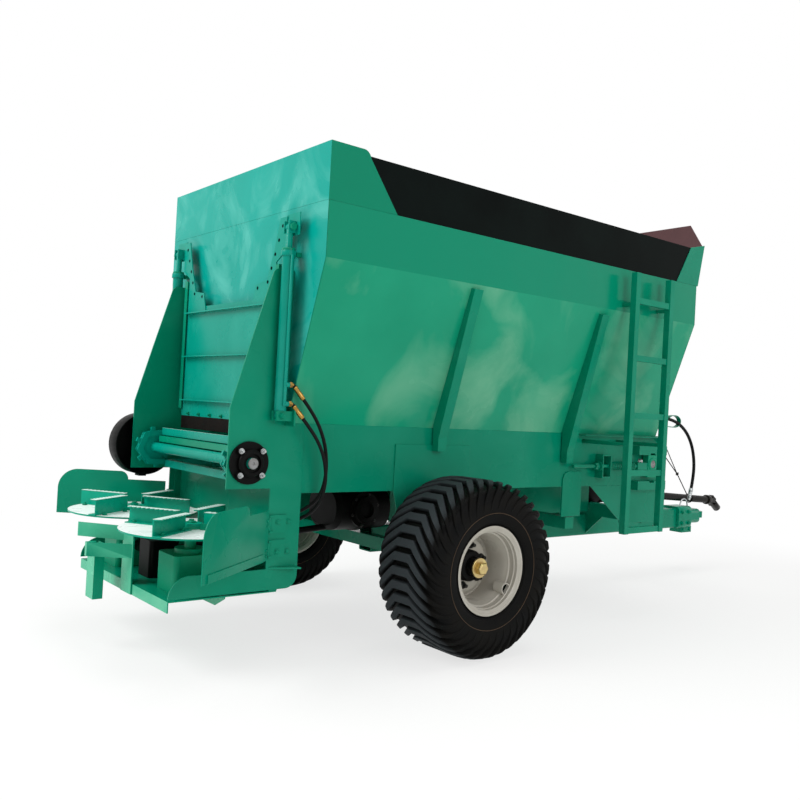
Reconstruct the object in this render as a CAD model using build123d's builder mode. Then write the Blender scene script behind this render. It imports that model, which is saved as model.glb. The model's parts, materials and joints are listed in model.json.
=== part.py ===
from build123d import *
import os
from math import cos, hypot, pi, radians, sin, tan

# Manure spreader: a single-axle trailed hopper with a chain-and-slat floor, a hydraulic
# rear gate and two horizontal spinner discs.  Millimetres, +X forward to the tow eye,
# +Y left, +Z up, ground at Z = 0.  The origin is on the ground at mid length.

os.makedirs("parts", exist_ok=True)

SIDES = (("right", -1), ("left", 1))      # node name ending, sign of Y

# ---------------------------------------------------------------- driving dimensions
front_reach = 3850        # axle to the tip of the drive-shaft yoke
rear_reach = 1600         # axle to the rear end of the stand bracket
axle_x = (rear_reach - front_reach) / 2
nose_x = axle_x + front_reach
tail_x = axle_x - rear_reach
seat = 0.3                # clearance between pieces that sit on each other

sheet = 4                 # hopper sheet
frame_t = 6               # chassis side plate
plate_t = 8               # rear side plates and brackets

# wheels
track = 1800
tyre_od = 874             # over the lugs
tyre_w = 404
lug_h = 27
lugs_a_row = 22
tread_half = 178          # half width of the tread
wall_r = 330              # where the sidewall starts to round over to the tread
bead_r = 290              # where the sidewall dips to the bead
rim_seat_r = 197
rim_flange_r = 220
rim_w = 350
rim_well_r = 170
rim_t = 6
disc_bore_r = 80
bolt_circle_r = 102.5
hub_r = 78
nose_r = 50
spindle_r = 30
axle_tube = 70
axle_half = 660
wheel_z = tyre_od / 2

# chassis
frame_half = 560          # outer face of the side plates
frame_low = 775
frame_top = 1107
frame_front = axle_x + 2100
rear_plate_front = tail_x + 815
beam_w = 120
beam_h = 155
beam_t = 8
beam_z = 435
beam_front = nose_x - 720
leg_rear = axle_x + 1100
roof_w = 55               # angle iron over the front of the chassis sides
roof_rear = axle_x + 1240

# hopper
hopper_rear = tail_x + 716
hopper_front = axle_x + 2050
hopper_half = 816
rim_z = 2119
knee_z = rim_z - 258      # slope meets the upright part of the side
hood_z = rim_z + 267
lip_w = 40
ext_t = 8
board_lean = 14           # degrees forward
board_shoulder = 285
board_rise = 450
rib_w = 62
rib_out = 55

# conveyor
shaft_x = tail_x + 523
shaft_z = 919
idler_x = axle_x + 1950
idler_travel = 80         # half the slot in the chassis side
shaft_r = 26
star_half = frame_half - 60       # middle of each star wheel
star_t = 16
star_tip_r = 110
star_body_r = 92
chain_r = 84              # pin circle in the star's notches
pin_r = 11.7
notch_r = 12
link_in = 15              # side bar inside and outside the pin circle
link_out = 18
bar_t = 7
bar_gap = 20
slat_pitch = 290
slat_leg = 40
slat_t = 5
star_turn = 38            # direction of one tooth, degrees from +X
floor_z = shaft_z + (chain_r - link_in) * sin(radians(68)) - seat

# rear deck and spinners
deck_z = 320
deck_t = 6
deck_rear = tail_x + 175
disc_x = tail_x + 365
disc_half = frame_half - 215
disc_r = disc_half - 20
disc_t = 8
disc_z = 600              # top of the disc
vane_h = 75
vane_start = 62
vane_t = 5
vane_count = 4
vane_teeth = 11
vane_turn = 35
gearbox_top = 490
gear_z = 430              # shafts of the gearboxes

# gate and its cylinders
gate_x = tail_x + 670
gate_half = frame_half - 64
gate_low = frame_top - 7
gate_t = 5
rod_pin = rim_z - 109     # upper pin, gate shut
gland_z = rim_z - 219
gate_top = rod_pin - 310
guide_top = rim_z - 269
cyl_x = tail_x + 650
cyl_half = frame_half + 40
cyl_low = 1139            # lower pin
cyl_r = 28
rod_r = 16
pin_hole_r = 11
pipe_r = 7
port_r = 12
port_zs = (1284, 1196)

# flaps
flap_hinge = tail_x + 645
flap_off = 10             # hinge line outside the side plate
flap_deg = 36.5
flap_t = 5
flap_corner_r = 110
hinge_half = 42
hinge_pin_r = 4

# ladder
ladder_half = hopper_half + 84
ladder_tube = 40
ladder_low = 525
ladder_top = rim_z - 29
ladder_rear = axle_x + 1280
ladder_front = axle_x + 1630
ladder_rungs = 5
rung_low = 545
rung_pitch = 345

# drive shaft to the tractor
pto_rear = (axle_x + 1950, 685)     # in the bearing on the front cross beam
joint_x = nose_x - 120              # cross of the universal joint
joint_z = 560
pto_r = 29
yoke_r = 32
yoke_bore_r = 17.5
yoke_droop = 35           # degrees below level
bearing_x = axle_x + 1985
line_shaft_r = 18
sling_x = nose_x - 460
sling_r = 5

# tow head
eye_x = nose_x - 320
eye_z = 446
eye_r = 20

# hoses
gate_hose_d = 17
front_hose_d = 22
ferrule_reach = 19        # past the end of a gate hose, to the apron wall
fitting_r = 17
fitting_len = 21.9

# parking jack
jack_x = axle_x + 1060
jack_y = 420
jack_pivot_z = 556
jack_tube = 60


def finish(builder, node):
    """Label a finished piece and write its STEP file."""
    builder.part.label = node
    export_step(builder.part, f"parts/{node}.step")


def side_plane(y):
    """Upright plane along the machine: local x is forward, local y is up; extruding goes to -Y."""
    return Plane(origin=(0, y, 0), x_dir=(1, 0, 0), z_dir=(0, -1, 0))


def cross_plane(x, z=0):
    """Upright plane across the machine: local x is to the left, local y is up; extruding goes forward."""
    return Plane(origin=(x, 0, z), x_dir=(0, 1, 0), z_dir=(1, 0, 0))


def slope_y(z):
    """Half width of the hopper's outside at height z on its sloping part."""
    return frame_half + (hopper_half - frame_half) * (z - frame_top) / (knee_z - frame_top)


def bend_radii(points):
    """Largest arc at each corner of a hose's route: 0.45 of the shorter run over tan of half the turn."""
    radii = []
    for a, b, c in zip(points, points[1:], points[2:]):
        run_in = Vector(*b) - Vector(*a)
        run_out = Vector(*c) - Vector(*b)
        half_turn = radians(run_in.get_angle(run_out) / 2)
        radii.append(0.45 * min(run_in.length, run_out.length) / tan(half_turn))
    return radii


# ================================================================ wheels
# The tyre is faceted, one flat for each lug of either row, and stands on a flat.
flats = 2 * lugs_a_row
tread_r = wheel_z - lug_h
half_w = tyre_w / 2
for name, side in SIDES:
    wheel_y = side * track / 2
    with BuildPart() as tyre:
        # carcass: distance from mid width, radius over the flats
        for y, r in ((-half_w, wall_r), (-tread_half, tread_r), (tread_half, tread_r), (half_w, wall_r)):
            with BuildSketch(Plane(origin=(axle_x, wheel_y + y, wheel_z), x_dir=(0, 0, 1), z_dir=(0, 1, 0))):
                RegularPolygon(r, flats, major_radius=False, rotation=180 / flats)
        loft(ruled=True)
        # lugs: a bar across half the tread, an elbow, and a narrow fin down the shoulder
        for hand in (-1, 1):
            for k in range(lugs_a_row):
                turn = radians(360 / lugs_a_row * (k + (1 + hand) / 4))
                tangent = Plane(origin=(axle_x, wheel_y, wheel_z), x_dir=(cos(turn), 0, -sin(turn)),
                                z_dir=(sin(turn), 0, cos(turn)))
                with BuildSketch(tangent.offset(tread_r - 8)):
                    with BuildLine():
                        Polyline((-26, hand * 4), (12, hand * 4), (20, hand * 96), (12, hand * 152),
                                 (-14, hand * 152), (-18, hand * 96), close=True)
                    make_face()
                extrude(amount=lug_h + 8)
                fin = Plane(origin=tangent.from_local_coords((-12, 0, 0)), x_dir=(0, 1, 0),
                            z_dir=tangent.x_dir)
                with BuildSketch(fin):
                    with BuildLine():
                        outward = -1 if fin.y_dir.dot(tangent.z_dir) < 0 else 1
                        Polyline((hand * 150, outward * (tread_r - 6)), (hand * 150, outward * wheel_z),
                                 (hand * (half_w - 12), outward * (wheel_z - 26)),
                                 (hand * half_w, outward * (wall_r + 14)),
                                 (hand * (half_w - 10), outward * (wall_r + 14)),
                                 (hand * (tread_half - 6), outward * (tread_r - 6)), close=True)
                    make_face()
                extrude(amount=22)
        # bead recess in each sidewall, and the bore for the rim
        for hand in (-1, 1):
            for y, r in ((hand * (half_w + 1), bead_r), (hand * (rim_w / 2 + 1), rim_flange_r + 3)):
                with BuildSketch(Plane(origin=(axle_x, wheel_y + y, wheel_z), x_dir=(0, 0, 1), z_dir=(0, 1, 0))):
                    RegularPolygon(r, flats, major_radius=False, rotation=180 / flats)
            loft(ruled=True, mode=Mode.SUBTRACT)
            for y, r in ((hand * (rim_w / 2 + 3), rim_flange_r + 5.2), (hand * (rim_w / 2 - 15), rim_seat_r + 0.6)):
                with BuildSketch(Plane(origin=(axle_x, wheel_y + y, wheel_z), x_dir=(0, 0, 1), z_dir=(0, 1, 0))):
                    Circle(r)
            loft(ruled=True, mode=Mode.SUBTRACT)
        with Locations(Location((axle_x, wheel_y, wheel_z), (90, 0, 0))):
            Cylinder(rim_seat_r + seat, rim_w - 20, mode=Mode.SUBTRACT)
    finish(tyre, f"tyre_{name}")

    # rim: barrel with a drop well, and a disc near mid width with six wheel bolts' holes
    with BuildPart() as rim:
        with BuildSketch(Plane(origin=(axle_x, wheel_y, wheel_z), x_dir=(0, 0, 1), z_dir=(-1, 0, 0))):
            with BuildLine():
                Polyline((rim_flange_r, rim_w / 2), (rim_seat_r, rim_w / 2 - 15), (rim_well_r, 60),
                         (rim_well_r, -60), (rim_seat_r, 15 - rim_w / 2), (rim_flange_r, -rim_w / 2),
                         (rim_flange_r - rim_t, -rim_w / 2), (rim_seat_r - rim_t, 18 - rim_w / 2),
                         (rim_well_r - rim_t, -60), (rim_well_r - rim_t, 60),
                         (rim_seat_r - rim_t, rim_w / 2 - 18), (rim_flange_r - rim_t, rim_w / 2), close=True)
            make_face()
        revolve(axis=Axis((axle_x, wheel_y, wheel_z), (0, 1, 0)))
        with BuildSketch(Plane(origin=(axle_x, wheel_y - side * 12, wheel_z), x_dir=(0, 0, 1), z_dir=(0, side, 0))):
            Circle(rim_well_r - 2)
            Circle(disc_bore_r, mode=Mode.SUBTRACT)
            with PolarLocations(bolt_circle_r, 6):
                Circle(10, mode=Mode.SUBTRACT)
        extrude(amount=10)
    finish(rim, f"rim_{name}")

    # hub: body through the disc, flange behind it, nose and cap
    with BuildPart() as hub:
        with BuildSketch(Plane(origin=(axle_x, wheel_y, wheel_z), x_dir=(0, 0, 1), z_dir=(-1, 0, 0))):
            with BuildLine():
                Polyline((spindle_r + seat, -side * 75), (hub_r, -side * 75), (hub_r, side * 40),
                         (nose_r, side * 46), (nose_r, side * 98), (0, side * 98), (0, side * 70),
                         (spindle_r + seat, side * 70), close=True)
            make_face()
        revolve(axis=Axis((axle_x, wheel_y, wheel_z), (0, 1, 0)))
        with BuildSketch(Plane(origin=(axle_x, wheel_y - side * (12 + seat), wheel_z), x_dir=(0, 0, 1),
                               z_dir=(0, -side, 0))):
            Circle(bolt_circle_r + 20)
        extrude(amount=14)
        with BuildSketch(Plane(origin=(axle_x, wheel_y + side * 97, wheel_z), x_dir=(0, 0, 1), z_dir=(0, side, 0))):
            RegularPolygon(nose_r - 17, 6)
        extrude(amount=29)
        with Locations(Location((axle_x, wheel_y, wheel_z), (90, 0, 0))):
            Cylinder(spindle_r + seat, 140, mode=Mode.SUBTRACT)
    finish(hub, f"hub_{name}")

with BuildPart() as axle:
    with Locations((axle_x, 0, wheel_z)):
        Box(axle_tube, 2 * axle_half, axle_tube)
    with Locations(Location((axle_x, 0, wheel_z), (90, 0, 0))):
        Cylinder(spindle_r, track + 2 * 66)
        Cylinder(spindle_r + 4, track - 2 * 80)
finish(axle, "axle")

# ================================================================ chassis
for name, side in SIDES:
    with BuildPart() as frame_side:
        with BuildSketch(side_plane(side * frame_half)):
            with BuildLine():
                Polyline((rear_plate_front, frame_low), (frame_front, frame_low), (frame_front, frame_top),
                         (rear_plate_front, frame_top), close=True)
            make_face()
            with Locations((idler_x, shaft_z)):
                Rectangle(2 * idler_travel, 2 * shaft_r + 8, mode=Mode.SUBTRACT)
        extrude(amount=side * frame_t)
        # lower flange inwards, roof angle outwards, and the roof's end gusset
        with Locations(((frame_front + rear_plate_front) / 2, side * (frame_half - 25), frame_low + frame_t / 2)):
            Box(frame_front - rear_plate_front, 50, frame_t)
        with Locations(((frame_front + roof_rear) / 2, side * (frame_half + roof_w / 2), frame_top - 9)):
            Box(frame_front - roof_rear, roof_w, frame_t)
        with BuildSketch(cross_plane(frame_front - frame_t)):
            with BuildLine():
                Polyline((side * frame_half, frame_top - 12), (side * (frame_half + roof_w), frame_top - 12),
                         (side * frame_half, frame_top - 62), close=True)
            make_face()
        extrude(amount=frame_t)
    finish(frame_side, f"frame_side_{name}")

# pairs of plates on the chassis sides: node, growth outwards, outline from the side
axle_seat_z = wheel_z + axle_tube / 2 + seat
side_plates = (
    ("axle_brackets", plate_t,
     [(axle_x - 228, 1017), (axle_x + 300, 1017), (axle_x + 300, 760), (axle_x + 120, 600),
      (axle_x + 60, axle_seat_z), (axle_x - 60, axle_seat_z), (axle_x - 198, 664), (axle_x - 229, 776)]),
    ("front_legs", plate_t,
     [(leg_rear, 590), (leg_rear + 180, 590), (leg_rear + 180, 870), (leg_rear + 50, 870),
      (leg_rear + 15, 855), (leg_rear, 820)]),
    ("front_skirts", -frame_t,
     [(axle_x + 1378, frame_low - seat), (axle_x + 1689, 546), (axle_x + 1700, 520),
      (frame_front - 12, 520), (frame_front - 12, frame_low - seat)]),
)
for node, grow, outline in side_plates:
    with BuildPart() as plates:
        for _, side in SIDES:
            with BuildSketch(side_plane(side * frame_half)):
                with BuildLine():
                    Polyline(*outline, close=True)
                make_face()
            extrude(amount=-side * grow)
    finish(plates, node)

# trough floor, narrowed between the star wheels, with a lip bent down over the shaft
plate_inner = frame_half - plate_t
floor_front = idler_x - 150
floor_rear = shaft_x + star_tip_r + 7
tongue_half = star_half - 40
with BuildPart() as trough_floor:
    with BuildSketch(Plane.XY.offset(floor_z - frame_t)):
        with BuildLine():
            Polyline((floor_front, seat - plate_inner), (floor_front, plate_inner - seat),
                     (floor_rear, plate_inner - seat), (floor_rear, tongue_half), (shaft_x + 7, tongue_half),
                     (shaft_x + 7, -tongue_half), (floor_rear, -tongue_half), (floor_rear, seat - plate_inner),
                     close=True)
        make_face()
    extrude(amount=frame_t)
    with Locations((shaft_x + 10, 0, floor_z - 16)):
        Box(frame_t, 2 * tongue_half, 32)
finish(trough_floor, "trough_floor")

member_h = 100
member_w = 50
with BuildPart() as cross_members:
    for x in (tail_x + 1000, axle_x, axle_x + 700, axle_x + 1300, axle_x + 1750):
        with BuildSketch(Plane(origin=(x, 0, floor_z - frame_t - seat), x_dir=(1, 0, 0), z_dir=(0, -1, 0))):
            with BuildLine():
                Polyline((0, 0), (member_w, 0), (member_w, -frame_t), (frame_t, -frame_t),
                         (frame_t, frame_t - member_h), (member_w, frame_t - member_h),
                         (member_w, -member_h), (0, -member_h), close=True)
            make_face()
        extrude(amount=frame_half - frame_t - seat, both=True)
finish(cross_members, "cross_members")

beam_rear = axle_x + axle_tube / 2 + seat
with BuildPart() as drawbar:
    with BuildSketch(cross_plane(beam_rear, beam_z)):
        RectangleRounded(beam_w, beam_h, 12)
        RectangleRounded(beam_w - 2 * beam_t, beam_h - 2 * beam_t, 5, mode=Mode.SUBTRACT)
    extrude(amount=beam_front - beam_rear)
finish(drawbar, "drawbar")

# cross beams on top of the drawbar, with the shaft's bearing, gussets and the jack's ears
beam_top = beam_z + beam_h / 2
leg_beam_x = axle_x + 1190
with BuildPart() as front_cross_beams:
    # station, half length, top
    for x, half, top in ((leg_beam_x, frame_half, 585), (bearing_x, frame_half - frame_t, 600)):
        with Locations((x, 0, (beam_top + seat + top) / 2)):
            Box(80, 2 * (half - seat), top - beam_top - seat)
    with Locations((bearing_x, 0, 665)):
        Box(60, 110, 132)
    pto_dir = (joint_x - pto_rear[0], 0, joint_z - pto_rear[1])
    with BuildSketch(Plane(origin=(pto_rear[0], 0, pto_rear[1]), x_dir=(0, 1, 0), z_dir=pto_dir)):
        Circle(pto_r + seat)
    extrude(amount=120, both=True, mode=Mode.SUBTRACT)
    for side in (-1, 1):
        with BuildSketch(cross_plane(bearing_x)):
            with BuildLine():
                Polyline((side * (beam_w / 2 + seat), beam_top + 1), (side * (beam_w / 2 + 150), beam_top + 1),
                         (side * (beam_w / 2 + seat), beam_top - 140), close=True)
            make_face()
        extrude(amount=plate_t / 2, both=True)
    ear_front = leg_beam_x - 39
    ear_gap = jack_tube / 2 + 7
    for dy in (-ear_gap, ear_gap):
        with Locations(((jack_x - 30 + ear_front) / 2, jack_y + dy, jack_pivot_z)):
            Box(ear_front - jack_x + 30, 8, 80)
    with Locations(Location((jack_x, jack_y, jack_pivot_z), (90, 0, 0))):
        Cylinder(9.9, 2 * ear_gap + 16)
finish(front_cross_beams, "front_cross_beams")

# ================================================================ rear side plates and deck
wall_back = hopper_rear - sheet - seat
for name, side in SIDES:
    with BuildPart() as rear_plate:
        with BuildSketch(side_plane(side * frame_half)):
            with BuildLine():
                front = rear_plate_front - seat
                Polyline((front - 60, 328), (deck_rear - 2, 328))
                ThreePointArc((deck_rear - 2, 328), (deck_rear + 25, 395), (deck_rear + 81, 426))
                Polyline((deck_rear + 81, 426), (flap_hinge, 426), (flap_hinge, 800), (tail_x + 418, 800),
                         (tail_x + 418, 1166), (tail_x + 507, 1476), (tail_x + 600, guide_top - 60))
                ThreePointArc((tail_x + 600, guide_top - 60), (tail_x + 615, guide_top - 35),
                              (tail_x + 640, guide_top - 28))
                Polyline((tail_x + 640, guide_top - 28), (wall_back, guide_top - 28),
                         (wall_back, frame_top - seat), (front, frame_top - seat), (front, 388))
                ThreePointArc((front, 388), (front - 18, 346), (front - 60, 328))
            make_face()
            with Locations((shaft_x, shaft_z)):
                Circle(shaft_r + 3, mode=Mode.SUBTRACT)
        extrude(amount=side * plate_t)
        # shelf gusset outside the plate, ahead of the flap
        with BuildSketch(Plane.XY.offset(426)):
            with BuildLine():
                Polyline((flap_hinge + 5, side * (frame_half - 1)), (flap_hinge + 155, side * (frame_half - 1)),
                         (flap_hinge + 155, side * (frame_half + 60)), close=True)
            make_face()
        extrude(amount=plate_t)
    finish(rear_plate, f"rear_side_plate_{name}")

apron_x = wall_back + 1.3
with BuildPart() as apron_wall:
    with Locations((apron_x, 0, (deck_z + seat + 800) / 2)):
        Box(5, 2 * (plate_inner - seat), 800 - deck_z - seat)
    with Locations(Location((apron_x, 0, gear_z + 24), (0, 90, 0))):
        Cylinder(50, 20, mode=Mode.SUBTRACT)
    for side in (-1, 1):
        with Locations((apron_x - 20, side * (plate_inner - seat - 3), (deck_z + seat + 800) / 2)):
            Box(40, 6, 800 - deck_z - seat)
finish(apron_wall, "apron_wall")

rib_mid = disc_x + 79
with BuildPart() as spinner_deck:
    with Locations(((deck_rear + apron_x) / 2, 0, deck_z - deck_t / 2)):
        Box(apron_x - deck_rear, 2 * (plate_inner - seat), deck_t)
    with Locations((deck_rear + deck_t / 2, 0, deck_z - 25)):
        Box(deck_t, 2 * (plate_inner - seat), 50)
    # cross rib with tapered ends
    with BuildSketch(cross_plane(rib_mid)):
        with BuildLine():
            Polyline((seat - plate_inner, deck_z - 1), (seat - plate_inner, deck_z - 14), (90 - plate_inner, deck_z - 60),
                     (plate_inner - 90, deck_z - 60), (plate_inner - seat, deck_z - 14),
                     (plate_inner - seat, deck_z - 1), close=True)
        make_face()
    extrude(amount=deck_t)
finish(spinner_deck, "spinner_deck")

# ================================================================ hopper
for name, side in SIDES:
    with BuildPart() as hopper_side:
        with BuildSketch(cross_plane(hopper_rear)):
            with BuildLine():
                Polyline((side * frame_half, frame_top), (side * hopper_half, knee_z), (side * hopper_half, rim_z),
                         (side * (hopper_half - lip_w), rim_z), (side * (hopper_half - lip_w), rim_z - sheet),
                         (side * (hopper_half - sheet), rim_z - sheet), (side * (hopper_half - sheet), knee_z),
                         (side * (frame_half - frame_t), frame_top), close=True)
            make_face()
        extrude(amount=hopper_front - hopper_rear)
    finish(hopper_side, f"hopper_side_{name}")

wall_outline = [(-frame_half, frame_top), (-hopper_half, knee_z), (-hopper_half, rim_z), (hopper_half, rim_z),
                (hopper_half, knee_z), (frame_half, frame_top)]
window_top = gate_top - 48
with BuildPart() as hopper_rear_wall:
    with BuildSketch(cross_plane(hopper_rear - seat)):
        with BuildLine():
            Polyline(*wall_outline, close=True)
        make_face()
        with Locations((0, (frame_top + window_top) / 2)):
            Rectangle(2 * gate_half - 102, window_top - frame_top + 2, mode=Mode.SUBTRACT)
    extrude(amount=seat - sheet)
finish(hopper_rear_wall, "hopper_rear_wall")

# front wall with two stiffeners, the hose eye and the two hooks of the shaft's sling
wall_front = hopper_front + seat + sheet
eye_centre = (wall_front + 100, -(frame_half + 5), frame_top + 118)
sling_hooks = ((-350, 1575), (-300, 1370))        # across, height
with BuildPart() as hopper_front_wall:
    with BuildSketch(cross_plane(hopper_front + seat)):
        with BuildLine():
            Polyline(*wall_outline, close=True)
        make_face()
    extrude(amount=sheet)
    for y in (-200, 200):
        with Locations((wall_front + 19, y, (frame_top + rim_z) / 2)):
            Box(40, 50, rim_z - frame_top - 160)
    for y, z in sling_hooks:
        with Locations(Location((wall_front + 11, y, z), (0, 90, 0))):
            Cylinder(9, 24)
    # port of the front hose
    with Locations(Location((wall_front + fitting_len / 2 - 0.5, -553, 1236), (0, 90, 0))):
        Cylinder(fitting_r, fitting_len)
    with Locations(Location(eye_centre, (0, 90, 0))):
        Torus(48, 5)
    with Locations(Location(((wall_front + eye_centre[0]) / 2, eye_centre[1] + 48, eye_centre[2]), (0, 90, 0))):
        Cylinder(5, eye_centre[0] - wall_front + 2)
finish(hopper_front_wall, "hopper_front_wall")

# rear hood: a bent sheet standing on the rim
with BuildPart() as rear_hood:
    with Locations((hopper_rear - sheet / 2, 0, (rim_z + seat + hood_z) / 2)):
        Box(sheet, 2 * hopper_half, hood_z - rim_z - seat)
    for side in (-1, 1):
        with BuildSketch(side_plane(side * hopper_half)):
            with BuildLine():
                Polyline((hopper_rear, rim_z + seat), (hopper_rear + 391, rim_z + seat), (hopper_rear + 219, hood_z - 35))
                ThreePointArc((hopper_rear + 219, hood_z - 35), (hopper_rear + 204, hood_z - 10),
                              (hopper_rear + 172, hood_z))
                Polyline((hopper_rear + 172, hood_z), (hopper_rear, hood_z), (hopper_rear, rim_z + seat))
            make_face()
        extrude(amount=side * sheet)
finish(rear_hood, "rear_hood")

# boards that raise the sides between the hood and the front corners
with BuildPart() as side_extensions:
    for side in (-1, 1):
        with BuildSketch(side_plane(side * (hopper_half - sheet - seat))):
            with BuildLine():
                Polyline((hopper_rear + 184, rim_z + seat), (hopper_front - 65, rim_z + seat),
                         (hopper_front - 65, hood_z - 24), (hopper_rear + 184, hood_z - 24), close=True)
            make_face()
        extrude(amount=side * ext_t)
finish(side_extensions, "side_extensions")

# front board leaning forward, and its corner plates
lean = radians(board_lean)
with BuildPart() as front_board:
    with BuildSketch(Plane(origin=(hopper_front - 10, 0, rim_z + 1.3), x_dir=(0, 1, 0), z_dir=(cos(lean), 0, -sin(lean)))):
        with BuildLine():
            half = hopper_half - 2 * sheet
            Polyline((-half, 0), (half, 0), (half, board_shoulder), (half - 120, board_rise),
                     (120 - half, board_rise), (-half, board_shoulder), close=True)
        make_face()
    extrude(amount=sheet)
finish(front_board, "front_board")

with BuildPart() as front_corners:
    for side in (-1, 1):
        with BuildSketch(side_plane(side * hopper_half)):
            with BuildLine():
                Polyline((hopper_front - 224, rim_z + seat), (hopper_front + 20, rim_z + seat),
                         (hopper_front + 79, rim_z + 281), (hopper_front - 78, rim_z + 243), close=True)
            make_face()
        extrude(amount=side * sheet)
finish(front_corners, "front_corners")

# tapered channel ribs up the slopes: station, foot, depth below the knee
with BuildPart() as side_ribs:
    for _, side in SIDES:
        rib_in = frame_half + plate_t + seat
        for x, foot, drop in ((axle_x + 50, 985, 21), (leg_rear, 925, 36)):
            top = knee_z - drop
            with BuildSketch(cross_plane(x)):
                with BuildLine():
                    Polyline((side * rib_in, foot), (side * rib_in, frame_top + 24),
                             (side * (slope_y(top) + seat), top), (side * (slope_y(top) + 28), top - 6),
                             (side * (frame_half + rib_out), foot + 70), (side * (frame_half + rib_out), foot), close=True)
                make_face()
            extrude(amount=rib_w / 2, both=True)
            with BuildSketch(cross_plane(x)):
                with BuildLine():
                    Polyline((side * (frame_half - 20), foot - 5), (side * (frame_half - 20), frame_top),
                             (side * (slope_y(top) - 20), top + 1), (side * (slope_y(top) + 22), top - 12),
                             (side * (frame_half + rib_out - 5), foot + 69),
                             (side * (frame_half + rib_out - 5), foot - 5), close=True)
                make_face()
            extrude(amount=rib_w / 2 - 5, both=True, mode=Mode.SUBTRACT)
finish(side_ribs, "side_ribs")

# ================================================================ ladder
with BuildPart() as ladder:
    for x in (ladder_rear, ladder_front):
        with Locations((x, -ladder_half, (ladder_low + ladder_top) / 2)):
            Box(ladder_tube, ladder_tube, ladder_top - ladder_low)
        # stand-offs: height, half width of what they stand on
        for z, half in ((knee_z + 39, hopper_half), (frame_top - 47, frame_half)):
            with Locations(Location((x, -(ladder_half + half) / 2, z), (90, 0, 0))):
                Cylinder(12, ladder_half - half - 2 * seat)
    for k in range(ladder_rungs):
        with Locations(((ladder_rear + ladder_front) / 2, -ladder_half, rung_low + k * rung_pitch)):
            Box(ladder_front - ladder_rear, 30, 36)
finish(ladder, "ladder")

# ================================================================ gate
gate_h = gate_top - gate_low
gate_back = gate_x - gate_t / 2
rib_half = gate_half - 24
with BuildPart() as gate:
    with Locations((gate_x, 0, (gate_low + gate_top) / 2)):
        Box(gate_t, 2 * gate_half, gate_h)
    for share in (0.145, 0.545, 0.945):
        with Locations((gate_back - 14, 0, gate_low + share * gate_h)):
            Box(30, 2 * rib_half, 6)
    for side in (-1, 1):
        # ear plate above the top rib, with the foot of the strap bolted to it
        with BuildSketch(cross_plane(gate_back + 1)):
            with BuildLine():
                Polyline((side * (gate_half - 243), gate_top - 26), (side * rib_half, gate_top - 26),
                         (side * rib_half, gate_top + 50), (side * (gate_half - 216), gate_top + 50), close=True)
            make_face()
        extrude(amount=-6)
        # strap up to the cylinder's upper pin
        with BuildSketch(cross_plane(gate_back + 1)):
            with BuildLine():
                Polyline((side * rib_half, gate_top + 30), (side * (gate_half - 216), gate_top + 30),
                         (side * (gate_half - 216), gate_top + 70), (side * (gate_half - 106), gate_top + 86),
                         (side * (gate_half - 50), rod_pin - 90), (side * (gate_half - 6), rod_pin + 60),
                         (side * (gate_half + 54), rod_pin + 60), (side * (gate_half + 54), rod_pin - 100),
                         (side * rib_half, rod_pin - 145), close=True)
            make_face()
        extrude(amount=-6)
        # lug plate and two lugs that hold the pin
        with Locations((gate_x, side * (cyl_half - 2), rod_pin + 16)):
            Box(gate_t, 114, 104)
        for dy in (-21, 21):
            with Locations(((gate_x + cyl_x - 20) / 2, side * (cyl_half + dy), rod_pin)):
                Box(gate_x - cyl_x + 20, 8, 56)
        with Locations(Location((cyl_x, side * cyl_half, rod_pin), (90, 0, 0))):
            Cylinder(pin_hole_r, 54)
finish(gate, "gate")

skirt_low = gate_low - 70
with BuildPart() as gate_skirt:
    with Locations((gate_x, 0, (gate_low + skirt_low) / 2)):
        Box(8, 2 * (gate_half - 6), gate_low - skirt_low - 2 * seat)
finish(gate_skirt, "gate_skirt")

guide_low = gate_low + 40
with BuildPart() as gate_guides:
    for _, side in SIDES:
        # three walls of each channel: x and y of the middle, size along x and y
        walls = ((wall_back - 3, frame_half - 35, 6, 40),
                 ((wall_back + gate_x - 12) / 2, frame_half - 52, wall_back - gate_x + 12, 6),
                 (gate_x - 12, frame_half - 65, 6, 32))
        for x, y, along, across in walls:
            with Locations((x, side * y, (guide_low + guide_top) / 2)):
                Box(along, across, guide_top - guide_low)
finish(gate_guides, "gate_guides")

# ================================================================ gate cylinders
with BuildPart() as cylinder_barrels:
    for _, side in SIDES:
        y = side * cyl_half
        with Locations((cyl_x, y, (cyl_low + 24 + gland_z) / 2)):
            Cylinder(cyl_r, gland_z - cyl_low - 24)
        with Locations((cyl_x, y, gland_z - 12)):
            Cylinder(cyl_r + 7, 24)
        with Locations((cyl_x, y, (cyl_low + 60 + gland_z + 20) / 2)):
            Cylinder(rod_r + 0.1, gland_z + 20 - cyl_low - 60, mode=Mode.SUBTRACT)
        # lower eye
        with Locations((cyl_x, y, cyl_low + 12)):
            Box(40, 24, 30)
        with Locations(Location((cyl_x, y, cyl_low), (90, 0, 0))):
            Cylinder(22, 24)
            Cylinder(10, 40, mode=Mode.SUBTRACT)
        # side pipe with the two ports, which face forward
        pipe_y = side * (cyl_half + cyl_r + pipe_r - 0.1)
        with Locations((cyl_x, pipe_y, (port_zs[1] - 12 + gland_z - 20) / 2)):
            Cylinder(pipe_r, gland_z - port_zs[1] - 8)
        if side == -1:
            for z in port_zs:
                with Locations(Location((cyl_x + 10, pipe_y, z), (0, 90, 0))):
                    Cylinder(port_r, 20)
finish(cylinder_barrels, "cylinder_barrels")

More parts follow.
